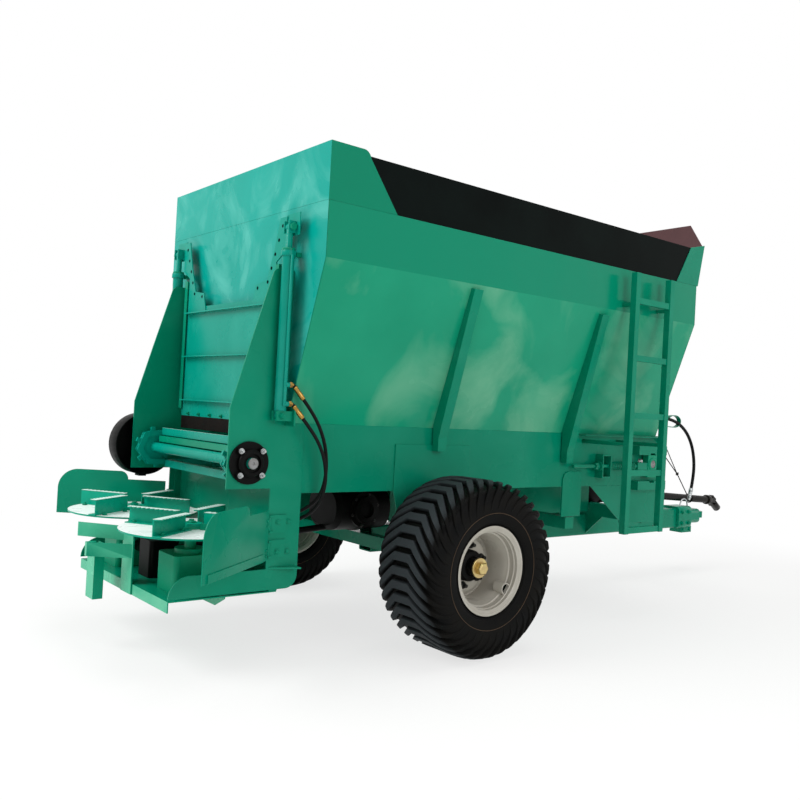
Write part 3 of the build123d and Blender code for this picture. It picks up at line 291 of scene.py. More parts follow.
# The same enamel on the big hopper sheets, with painted light: faces turned down are paler, with pale patches
# of painted reflection of the bright floor, and upright faces get a darker green as painted shade.
ENAMEL_SIDE = Finish(
    "gloss_enamel_on_hopper_side", "#1CA27C", "#0F9571", 0.2, grain_mm=4, relief_mm=0.04, gloss=0.16,
    wave_mm=7.0, painted_sheen="#A5DCB6", painted_sheen_share=0.5, painted_sheen_mm=560, painted_sheen_swirl=0.8, facing=(2, -0.1, -0.4),
    away="#008B6A",
)
# The rear sheets show wiping marks in the gloss, their pale curved streaks painted in as reflection; faces
# turned to the rear are painted lighter, as lit, and the rest darker.
ENAMEL_WIPE_MARKS_AND_SHEEN = Finish(
    "gloss_enamel_wipe_marks_and_painted_sheen", "#009C8E", "#009586", 0.24, grain_mm=4, relief_mm=0.04, gloss=0.14, wave_mm=3.0,
    painted_sheen="#78CFC2", painted_sheen_share=0.34, painted_sheen_mm=480, painted_sheen_swirl=2.2, facing=(0, -0.3, -0.8), away="#008565",
)
# Low bars and edges: painted light, pale with pale patches on faces turned to the rear, where the lamp and
# the floor's light fall, and plain green on the rest.
ENAMEL_LOW = Finish(
    "gloss_enamel_on_low_bars", "#4DB892", "#3FA986", 0.3, grain_mm=4, relief_mm=0.04, gloss=0.12,
    painted_sheen="#8CD3B2", painted_sheen_share=0.3, painted_sheen_mm=220, facing=(0, -0.5, -0.9), away="#009070",
)
# The rear-facing gate and drive: the same enamel painted lighter, as lit from the rear, with a faint painted
# sheen.
ENAMEL_REAR = Finish(
    "gloss_enamel_on_rear", "#00927F", "#008C79", 0.26, grain_mm=4, relief_mm=0.04, gloss=0.12, wave_mm=2.0,
    painted_sheen="#5CC4B2", painted_sheen_share=0.12, painted_sheen_mm=300,
)
# Conveyor slats: painted highlight, their tops pale as sunlit, the other faces green.
SLAT = Finish(
    "slat_tops_painted_highlight", "#DFF2EC", "#CFE9E1", 0.3, grain_mm=4, relief_mm=0.05, cloud_mm=150, gloss=0.2,
    facing=(2, 0.55, 0.9), away="#00927F",
)
# Enamel on a sand casting: the grit of the mould, about 2 mm, stays under the paint.
CASTING = Finish(
    "gloss_enamel_on_casting", "#009A74", "#008866", 0.36, Grain.SAND_CAST, grain_mm=6, relief_mm=0.8,
    gloss=0.14,
)
# Vane and disc enamel, painted lighter as lit from the rear.
DISC = DiscFinish(
    "disc_enamel_and_painted_sky_reflection", "#009F82", "#009478", 0.28, grain_mm=4, relief_mm=0.04, gloss=0.15,
    cloud_mm=120,
)
# Satin black chassis paint, slightly dusty.
BLACK = Finish("satin_black_paint", "#0B0B0C", "#121211", 0.42, grain_mm=3, relief_mm=0.04, gloss=0.06)
# Black-painted side boards: flat steel strip with a dull sheen.
BOARD = Finish(
    "semi_gloss_black_board", "#080C0B", "#0D1513", 0.36, grain_mm=4, relief_mm=0.05, gloss=0.03,
    wave_mm=3.0,
)
# Red-brown primer on the inside of the front board.
PRIMER = Finish("red_primer", "#411317", "#350F12", 0.55, grain_mm=3, relief_mm=0.06, gloss=0.3)
# Carbon-black tyre rubber, moulded: matt, with a faint bloom.
TYRE = Finish(
    "moulded_tyre_rubber", "#090A0B", "#12110F", 0.5, Grain.MOULDED, grain_mm=2.5, relief_mm=0.12,
    cloud_mm=90, gloss=0.05,
)
# The same rubber on the lugs, grading to a paler grey on their tops.
TREAD = TreadFinish(
    "tread_rubber_paler_outside", "#0B0C0C", "#131210", 0.6, Grain.MOULDED, grain_mm=2.5, relief_mm=0.15,
    cloud_mm=90, gloss=0.05,
)
# The raised line round the bead, rubbed to tan.
BEAD_LINE = Finish(
    "rubbed_bead_line", "#5B4A3A", "#41362C", 0.6, Grain.MOULDED, grain_mm=2.5, relief_mm=0.1, cloud_mm=120,
    gloss=0.1,
)
# Black paint on the sand-cast housings under the frame.
BLACK_CASTING = Finish(
    "black_painted_casting", "#070807", "#0C0B09", 0.5, Grain.SAND_CAST, grain_mm=6, relief_mm=0.8,
    gloss=0.08,
)
# Top edges of the spinner vanes: painted highlight, near-white as sunlit.
VANE_TOP_HIGHLIGHT = Finish(
    "vane_top_painted_highlight", "#E4F7F0", "#CDEBE0", 0.36, grain_mm=3, relief_mm=0.1, cloud_mm=60, gloss=0.2,
)
# Extruded hose cover and belt rubber.
HOSE = Finish(
    "extruded_hose_rubber", "#0C0C0D", "#121212", 0.42, Grain.MOULDED, grain_mm=2, relief_mm=0.05,
    gloss=0.10,
)
# Rubber apron under the gate: rough cut face with vertical drag marks.
SKIRT = Finish(
    "cut_rubber_apron", "#0D0A09", "#1A1411", 0.8, Grain.ROLLED, grain_mm=9, relief_mm=1.2, cloud_mm=60,
    gloss=0.1,
)
# Powder-coated rim, light grey, satin.
RIM = Finish(
    "grey_powder_coat", "#BAB6AC", "#ABA69B", 0.3, grain_mm=2, relief_mm=0.06, cloud_mm=150, gloss=0.4,
)
# Yellow-passivated zinc plate: soft metallic with an iridescent straw tint.
YELLOW_ZINC = Finish(
    "yellow_passivated_zinc", "#CDBB7E", "#BFA777", 0.3, Grain.TURNED, grain_mm=1.5, relief_mm=0.03,
    cloud_mm=18, metallic=1.0,
)
# Clear zinc plate on bolts and nuts.
ZINC = Finish(
    "bright_zinc_plate", "#B9BDBE", "#A2A5A5", 0.32, grain_mm=1.5, relief_mm=0.03, cloud_mm=20,
    metallic=1.0,
)
# Turned brass hose fittings.
BRASS = Finish(
    "turned_brass", "#B8914F", "#96753A", 0.28, Grain.TURNED, grain_mm=1, relief_mm=0.02, cloud_mm=25,
    metallic=1.0,
)
# Bare machined steel with a skin of oil.
STEEL = Finish(
    "machined_steel", "#8E8F90", "#6B6864", 0.34, Grain.TURNED, grain_mm=1.5, relief_mm=0.05, cloud_mm=40,
    metallic=1.0,
)
# Oiled chain steel, dark from rolling and heat.
CHAIN = Finish(
    "oiled_chain_steel", "#2A2B2C", "#383632", 0.42, Grain.ROLLED, grain_mm=2, relief_mm=0.1, cloud_mm=40,
    metallic=0.8,
)
# Black drive shaft with a skin of grease.
SHAFT = Finish(
    "greased_black_shaft", "#131211", "#1D1A16", 0.3, Grain.TURNED, grain_mm=2, relief_mm=0.05, cloud_mm=50,
    metallic=0.4, gloss=0.3,
)
# Black laid cord.
ROPE = Finish(
    "black_laid_cord", "#141413", "#1D1C1A", 0.8, Grain.MOULDED, grain_mm=1.5, relief_mm=0.2, cloud_mm=30,
    gloss=0.1,
)
# Painted shade: near-black for the shadowed bore of a hole, laid on a surface as a thin disc.
HOLE_SHADE = Finish("painted_hole_shade", "#020303", "#040505", 0.9, grain_mm=2, relief_mm=0.02, gloss=0.0)

SLOT_FINISH = {
    "green": ENAMEL, "black_paint": BLACK, "black_board": BOARD, "rubber": SKIRT, "tyre": TYRE, "rim": RIM,
    "zinc": YELLOW_ZINC, "steel": STEEL, "maroon": PRIMER, "cast": CASTING, "rope": ROPE, "dark": BLACK,
}
NODE_FINISH = {
    "hopper_side_right": ENAMEL_SIDE, "hopper_side_left": ENAMEL_SIDE, "hopper_rear_wall": ENAMEL_WIPE_MARKS_AND_SHEEN,
    "rear_hood": ENAMEL_WIPE_MARKS_AND_SHEEN, "spinner_disc_right": DISC, "spinner_disc_left": DISC,
    "drive_shaft": ENAMEL_REAR, "gate": ENAMEL_REAR, "conveyor_slats": SLAT, "cylinder_barrels": ENAMEL_REAR,
    "cylinder_rods": ENAMEL_REAR, "spinner_deck": ENAMEL_LOW, "stand_bracket": ENAMEL_LOW,
    "conveyor_chains": ENAMEL_REAR, "pto_shaft": SHAFT, "idler_shaft": STEEL,
    "hopper_front_wall": ENAMEL_SIDE,
}
# Nodes of fine or wholly round work, whose edges aren't rounded.
PLAIN_NODES = {
    "spinner_disc_right", "spinner_disc_left", "conveyor_chains", "front_hose", "gate_hoses", "drive_shaft",
}


# ---------------------------------------------------------------- surfaces
def unit(vectors: np.ndarray) -> np.ndarray:
    """Scale vectors along the last axis to length 1."""
    return vectors / np.linalg.norm(vectors, axis=-1, keepdims=True)


@dataclass
class Shell:
    """Points and faces of a surface; each item of faces holds faces of one number of corners."""

    points: np.ndarray
    faces: list[np.ndarray]

    def at(self, frames: np.ndarray) -> Shell:
        """Copy the shell by every 4 x 4 matrix in frames, all points at once."""
        count = len(self.points)
        points = np.einsum("kij,nj->kni", frames[:, :3, :3], self.points) + frames[:, None, :3, 3]
        steps = (np.arange(len(frames)) * count)[:, None, None]
        faces = [(group[None] + steps).reshape(-1, group.shape[1]) for group in self.faces]
        return Shell(points.reshape(-1, 3), faces)

    def mirrored(self) -> Shell:
        """Reflect the shell in the machine's middle plane."""
        return Shell(self.points * (1, -1, 1), [group[:, ::-1] for group in self.faces])


def joined(shells: Iterable[Shell]) -> Shell:
    """Put several shells into one."""
    points: list[np.ndarray] = []
    faces: list[np.ndarray] = []
    start = 0
    for shell in shells:
        points.append(shell.points)
        faces.extend(group + start for group in shell.faces)
        start += len(shell.points)
    return Shell(np.concatenate(points), faces)


def surface(points: np.ndarray, wrap_rows: bool = False, wrap_cols: bool = True, caps: bool = True) -> Shell:
    """Cover a grid of points with quads, point (u, v) to its next neighbours in both ways.

    Args:
        points: Rows x columns x 3.
        wrap_rows: The last row joins the first.
        wrap_cols: The last column joins the first.
        caps: Close the first and last row with a face each.

    Returns:
        The shell.
    """
    rows, cols = points.shape[:2]
    u = np.arange(rows if wrap_rows else rows - 1)[:, None]
    v = np.arange(cols if wrap_cols else cols - 1)[None]
    u_next, v_next = (u + 1) % rows, (v + 1) % cols
    quads = np.stack([u * cols + v, u * cols + v_next, u_next * cols + v_next, u_next * cols + v], -1)
    faces = [quads.reshape(-1, 4)]
    if caps and wrap_cols and not wrap_rows:
        ends = np.arange(cols)
        faces += [ends[None, ::-1], (ends + (rows - 1) * cols)[None]]
    return Shell(points.reshape(-1, 3), faces)


def frame_axes(axis: Vector) -> tuple[np.ndarray, np.ndarray, np.ndarray]:
    """Give an axis of length 1 and two directions square to it."""
    along = unit(np.asarray(axis, float))
    helper = Z_DIR if abs(along[2]) < 0.9 else X_DIR
    across = unit(np.cross(helper, along))
    return along, across, np.cross(along, across)


def turned(
    profile: Profile,
    centre: Vector = (0, 0, 0),
    axis: Vector = (0, 0, 1),
    segments: int = 40,
    ring: bool = False,
) -> Shell:
    """Turn a profile about an axis: point = centre + a * axis + r * (cos t, sin t) square to it.

    Args:
        profile: Rows of (a, r), the distance along the axis and the radius.
        centre: Where a is 0.
        axis: The axis's direction.
        segments: Steps of t round the circle; six gives a hexagon.
        ring: The profile is closed and the solid is a ring.

    Returns:
        The shell.
    """
    shape = np.asarray(profile, float)
    along, across, up = frame_axes(axis)
    rim = placed(circle(1.0, segments), (0, 0, 0), across, up)
    points = np.asarray(centre) + shape[:, 0, None, None] * along + shape[:, 1, None, None] * rim
    return surface(points, wrap_rows=ring, caps=not ring)


def circle(radius: float, count: int, start: float = 0.0) -> np.ndarray:
    """Points (x, y) spread evenly on a circle, the first at the angle start."""
    t = start + np.arange(count) * tau / count
    return radius * np.stack([np.cos(t), np.sin(t)], -1)


def placed(flat: np.ndarray, centre: Vector, x_dir: np.ndarray, y_dir: np.ndarray) -> np.ndarray:
    """Carry flat points (x, y) to centre + x * x_dir + y * y_dir."""
    return np.asarray(centre, float) + flat[..., :1] * x_dir + flat[..., 1:] * y_dir


def swept(
    path: np.ndarray,
    section: np.ndarray,
    up: Vector = (0, 0, 1),
    closed: bool = False,
    twist: np.ndarray | float = 0.0,
) -> Shell:
    """Carry a section along a path: its x runs along up x tangent, its y square to both.

    Args:
        path: Points of the middle line.
        section: Rows of (x, y).
        up: A direction never parallel to the path.
        closed: The path's end joins its start.
        twist: Turn of the section at each point, radians.

    Returns:
        The shell.
    """
    if closed:
        tangent = unit(np.roll(path, -1, 0) - np.roll(path, 1, 0))
    else:
        tangent = unit(np.gradient(path, axis=0))
    side = unit(np.cross(np.asarray(up, float), tangent))
    top = np.cross(tangent, side)
    turn = np.broadcast_to(twist, len(path))[:, None]
    x = section[:, 0] * np.cos(turn) - section[:, 1] * np.sin(turn)
    y = section[:, 0] * np.sin(turn) + section[:, 1] * np.cos(turn)
    points = path[:, None] + x[..., None] * side[:, None] + y[..., None] * top[:, None]
    return surface(points, wrap_rows=closed, caps=not closed)


def plate(outline: Profile, origin: Vector, x_dir: Vector, y_dir: Vector, thickness: float) -> Shell:
    """Flat plate: the outline in the plane of x_dir and y_dir, carried square to it by the thickness."""
    x_axis, y_axis = np.asarray(x_dir, float), np.asarray(y_dir, float)
    base = placed(np.asarray(outline, float), origin, x_axis, y_axis)
    return surface(np.stack([base, base + thickness * np.cross(x_axis, y_axis)]))


def block(low: Vector, high: Vector) -> Shell:
    """Rectangular bar between two corners."""
    (x0, y0, z0), (x1, y1, z1) = low, high
    return plate([(x0, y0), (x1, y0), (x1, y1), (x0, y1)], (0, 0, z0), X_DIR, Y_DIR, z1 - z0)


def smoothed(points: Profile, rounds: int = 2) -> np.ndarray:
    """Round a closed outline: each round cuts every corner at a quarter of its two sides."""
    shape = np.asarray(points, float)
    for _ in range(rounds):
        after = np.roll(shape, -1, 0)
        cut = np.stack([0.75 * shape + 0.25 * after, 0.25 * shape + 0.75 * after], 1)
        shape = cut.reshape(-1, shape.shape[1])
    return shape


def frames_on(points: Profile, normal: Vector, turn: float = 0.0) -> np.ndarray:
    """Matrices that stand a +Z template on a face: one for each point, all with one normal."""
    along, across, up = frame_axes(normal)
    spots = np.asarray(points, float)
    frames = np.tile(np.eye(4), (len(spots), 1, 1))
    frames[:, :3, 0] = cos(turn) * across + sin(turn) * up
    frames[:, :3, 1] = -sin(turn) * across + cos(turn) * up
    frames[:, :3, 2] = along
    frames[:, :3, 3] = spots
    return frames


def bolt(size: float, stud: float = 0.35) -> Shell:
    """Washer, hexagon nut and stud end, standing on z = 0 (radius = 0.92 of the thread size)."""
    corner = 0.92 * size
    washer = turned([(0, 1.1 * size), (0.14 * size, 1.1 * size)], segments=16)
    head = turned([(0.14 * size, corner), (0.8 * size, corner), (0.9 * size, 0.8 * corner)], segments=6)
    end = turned([(0.9 * size, size / 2), ((0.9 + stud) * size, size / 2)], segments=12)
    return joined([washer, head, end])


def screw_head(size: float) -> Shell:
    """Plain hexagon head, standing on z = 0."""
    corner = 0.92 * size
    return turned([(0, corner), (0.55 * size, corner), (0.65 * size, 0.8 * corner)], segments=6)


def linked(name: str, data: bpy.types.ID) -> bpy.types.Object:
    """Make an object of the data, in the scene."""
    made = bpy.data.objects.new(name, data)
    bpy.context.scene.collection.objects.link(made)
    return made


def new_piece(
    name: str,
    shells: Iterable[Shell],
    finish: Finish,
    body: str,
    replaces: Sequence[str] = (),
    bevel: float = 0.0,
    sharp: float = 32.0,
) -> bpy.types.Object:
    """Make a mesh object, dress it, and tie it to the frame.

    Args:
        name: The piece's name.
        shells: Its surfaces.
        finish: Its material.
        body: The body it rides on.
        replaces: Nodes that it stands for.
        bevel: Width of the rounding on its edges, 0 for none.
        sharp: Edges turning by more than this many degrees stay crisp.

    Returns:
        The object.
    """
    whole = joined(shells)
    mesh = bpy.data.meshes.new(name)
    corners = [face for group in whole.faces for face in group.tolist()]
    mesh.from_pydata(whole.points.tolist(), [], corners)
    cleaned = bmesh.new()
    cleaned.from_mesh(mesh)
    bmesh.ops.remove_doubles(cleaned, verts=cleaned.verts, dist=PIECE_MERGE)
    bmesh.ops.recalc_face_normals(cleaned, faces=cleaned.faces)
    cleaned.to_mesh(mesh)
    cleaned.free()
    mesh.polygons.foreach_set("use_smooth", np.ones(len(mesh.polygons), bool))
    mesh.set_sharp_from_angle(angle=radians(sharp))
    mesh.materials.append(finish.material())
    piece = linked(name, mesh)
    if bevel > 0:
        add_bevel(piece, bevel)
    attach(piece, body)
    if replaces:
        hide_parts(*replaces)
    LOG.info("piece %s: %d faces on %s", name, len(mesh.polygons), body)
    return piece


def add_bevel(piece: bpy.types.Object, width: float) -> None:
    """Round the piece's sharp edges, so that they catch the light."""
    edge = piece.modifiers.new("rounded_edges", "BEVEL")
    edge.width = width
    edge.segments = 2
    edge.limit_method = "ANGLE"
    edge.angle_limit = radians(35)
    edge.harden_normals = True


# ---------------------------------------------------------------- wheels
@dataclass
class Wheels:
    """Two implement tyres on drop-centre rims, with their hubs and nuts."""

    half_track: float = 0.9
    lugs: int = 40
    nut_circle: float = 0.1025
    nuts: int = 6
    hub_face: float = 0.098
    valve_turn: float = -37.0

    def place(self, side: int, shell: Shell) -> Shell:
        """Carry a shell made about the origin, outside at +Y, to one wheel."""
        facing_out = shell if side > 0 else shell.mirrored()
        return Shell(facing_out.points + (AXLE_X, side * self.half_track, AXLE_Z), facing_out.faces)

    def wire(self, y: float, radius: float, wide: float, high: float) -> list[Shell]:
        """Raised line round both sidewalls, its section an ellipse."""
        outline = (y, radius) + circle(1.0, 8) * (wide, high)
        return [turned(outline * (hand, 1), axis=Y_DIR, segments=96, ring=True) for hand in (-1, 1)]

    def casing(self) -> Shell:
        """Carcass: a closed outline from bead to bead and back inside, turned about Y."""
        outer = [
            (-0.162, 0.199), (-0.166, 0.224), (-0.181, 0.232), (-0.190, 0.262), (-0.195, 0.300),
            (-0.1965, 0.335), (-0.193, 0.366), (-0.183, 0.390), (-0.162, 0.403), (-0.110, 0.409),
            (0.0, 0.411),
        ]
        inner = [(-0.150, 0.199), (-0.168, 0.262), (-0.178, 0.330), (-0.160, 0.378), (0.0, 0.392)]
        other = [(-y, r) for y, r in reversed(outer[:-1])]
        back = [(-y, r) for y, r in inner[:-1]] + inner[::-1]
        return turned(smoothed(outer + other + back), axis=Y_DIR, segments=132, ring=True)

    def lug(self) -> Shell:
        """One lug over the whole tread: a flat bar, an elbow on each side, a fin over each shoulder."""
        base_y = np.array([0, 30, 56, 80, 110, 140, 166, 182, 190, 193, 191]) / 1000
        base_r = np.array([404, 404, 404, 404, 403, 401, 396, 386, 362, 335, 300]) / 1000
        top_y = np.array([0, 30, 56, 81, 112, 143, 174, 193, 199, 199.6, 196.5]) / 1000
        top_r = np.array([437, 437, 437, 437, 436.5, 434, 424, 403, 370, 338, 301]) / 1000
        half = np.array([19, 19, 20, 20, 19, 17, 14, 11, 8, 5, 2.5]) / 1000
        drift = np.array([0, 0, 0, -21, -46, -71, -96, -117, -133, -139, -133]) / 1000
        flank = half + 0.004
        corners = (
            (drift - flank, base_y, base_r), (drift + flank, base_y, base_r),
            (drift + half, top_y, top_r), (drift - half, top_y, top_r),
        )
        near = np.stack([np.stack([x, y, np.sqrt(r**2 - x**2)], -1) for x, y, r in corners], 1)
        return surface(np.concatenate([(near * (1, -1, 1))[:0:-1], near]))

    def tread(self) -> Shell:
        """The lug repeated evenly round the tyre."""
        turns = np.arange(self.lugs) * tau / self.lugs
        spin = np.tile(np.eye(4), (self.lugs, 1, 1))
        spin[:, 0, 0], spin[:, 0, 2] = np.cos(turns), np.sin(turns)
        spin[:, 2, 0], spin[:, 2, 2] = -np.sin(turns), np.cos(turns)
        return self.lug().at(spin)

    def barrel(self) -> Shell:
        """Rim barrel: flange lip, bead seat, hump and drop well, one closed wall 6 mm thick."""
        skin = [
            (0.175, 0.2195), (0.176, 0.214), (0.169, 0.2045), (0.166, 0.199), (0.150, 0.1975), (0.148, 0.193),
            (0.122, 0.191), (0.119, 0.184), (0.106, 0.181), (0.094, 0.173), (0.0, 0.170),
        ]
        outer = skin + [(-y, r) for y, r in reversed(skin[:-1])]
        inner = [(0.176 if y > 0.17 else y - 0.002, r - 0.0062) for y, r in skin[:-1]] + [(0.0, 0.1638)]
        back = [(-y, r) for y, r in inner[:-1]] + inner[::-1]
        return turned(outer + back, axis=Y_DIR, segments=96, ring=True)

    def disc(self) -> Shell:
        """Wheel disc: a flat with the nuts, a step, and a cone that meets the well."""
        face = [(-0.002, 0.080), (-0.002, 0.128), (-0.006, 0.136), (-0.020, 0.146), (-0.028, 0.1645)]
        rear = [(y - 0.010, r) for y, r in reversed(face)]
        return turned(face + rear, axis=Y_DIR, segments=72, ring=True)

    def weld(self) -> Shell:
        """Weld bead between disc and well, its radius rippling 40 times round."""
        t = np.arange(240) * tau / 240
        ripple = 0.0035 + 0.0007 * np.sin(40 * t)
        section = (0.1625, -0.026) + ripple[:, None, None] * circle(1.0, 8)
        radius, y = section[..., 0], section[..., 1]
        points = np.stack([radius * np.cos(t)[:, None], y, radius * np.sin(t)[:, None]], -1)
        return surface(points, wrap_rows=True)

    def valve(self) -> tuple[Shell, Shell, Shell]:
        """Half-round valve shield on the hump, the valve inside it, and a near-black disc in it, painted
        shade for its bore.
        """
        turn = radians(self.valve_turn)
        out = np.array([cos(turn), 0, sin(turn)])
        around = np.array([-sin(turn), 0, cos(turn)])
        t = np.linspace(-0.15 * pi, 1.15 * pi, 18)
        arc = np.stack([np.cos(t), -np.sin(t)], -1)
        base = out * 0.168 + Y_DIR * 0.088
        shield = placed(np.concatenate([0.030 * arc, 0.0245 * arc[::-1]]), base, around, out)
        shell = surface(np.stack([shield, shield + Y_DIR * 0.056 + out * 0.008]))
        neck = [(0, 0.0055), (0.03, 0.0055), (0.032, 0.004), (0.045, 0.004)]
        stem = turned(neck, out * 0.162 + Y_DIR * 0.078, Y_DIR * 0.8 - out * 0.2, segments=14)
        # Painted shade: a thin near-black disc inside the shield stands for the shadowed bore.
        floor = [(-0.004, 0.0), (-0.004, 0.0238), (0.0, 0.0238), (0.0, 0.0)]
        bore = turned(floor, base + Y_DIR * 0.040 + out * 0.006, Y_DIR, segments=28)
        return shell, stem, bore

    def hub(self) -> tuple[list[Shell], list[Shell]]:
        """Zinc-plated washer and hexagon cap, and the black drum and flange behind them."""
        face = self.hub_face
        washer = [
            (face - 0.010, 0.0), (face - 0.010, 0.0485), (face - 0.008, 0.050), (face - 0.0015, 0.050),
            (face, 0.048), (face, 0.0),
        ]
        cap = [(face, 0.0), (face, 0.0325), (0.121, 0.0325), (0.126, 0.027), (0.126, 0.0)]
        drum = [
            (-0.075, 0.031), (-0.075, 0.078), (0.030, 0.078), (0.040, 0.072), (0.046, 0.052), (0.086, 0.050),
            (0.088, 0.046), (0.088, 0.031),
        ]
        flange = [(-0.0265, 0.077), (-0.0265, 0.122), (-0.0125, 0.122), (-0.0125, 0.077)]
        bright = [turned(washer, axis=Y_DIR, segments=56), turned(cap, axis=Y_DIR, segments=6)]
        dark = [turned(drum, axis=Y_DIR, segments=64, ring=True), turned(flange, axis=Y_DIR, ring=True)]
        return bright, dark

    def build(self) -> None:
        """Make both wheels."""
        spots = circle(self.nut_circle, self.nuts, radians(18))
        nuts = frames_on(placed(spots, Y_DIR * (SEAT - 0.002), X_DIR, Z_DIR), Y_DIR, 0.2)
        shield, stem, bore = self.valve()
        bright, dark = self.hub()
        casing = [
            self.casing(),
            *self.wire(0.1850, 0.250, 0.002, 0.002),
            *self.wire(0.1800, 0.234, 0.0025, 0.0025),
        ]
        rim = [self.barrel(), self.disc(), self.weld(), shield]
        parts = (
            ("tyre_casing", casing, TYRE, "tyre", "tyre", 0.0, 40),
            ("tyre_lugs", [self.tread()], TREAD, "tyre", None, 0.0022, 25),
            ("tyre_lines", self.wire(0.1925, 0.284, 0.0022, 0.0016), BEAD_LINE, "tyre", None, 0.0, 32),
            ("wheel_rim", rim, RIM, "rim", "rim", 0.0, 38),
            ("hub_cap", bright, YELLOW_ZINC, "zinc", "hub", 0.0012, 32),
            ("hub_drum", dark, BLACK, "black_paint", None, 0.0, 35),
            ("wheel_nuts", [bolt(0.018, 0.9).at(nuts), stem], CHAIN, "steel", None, 0.0, 25),
            ("valve_bore", [bore], HOLE_SHADE, "dark", None, 0.0, 32),
        )
        for name, side in SIDES:
            for label, shells, finish, slot, node, bevel, sharp in parts:
                placed_shells = [self.place(side, shell) for shell in shells]
                stands_for = [f"{node}_{name}"] if node else []
                new_piece(
                    f"{label}_{name}", placed_shells, finish, f"wheel_{name}", stands_for, bevel, sharp
                )


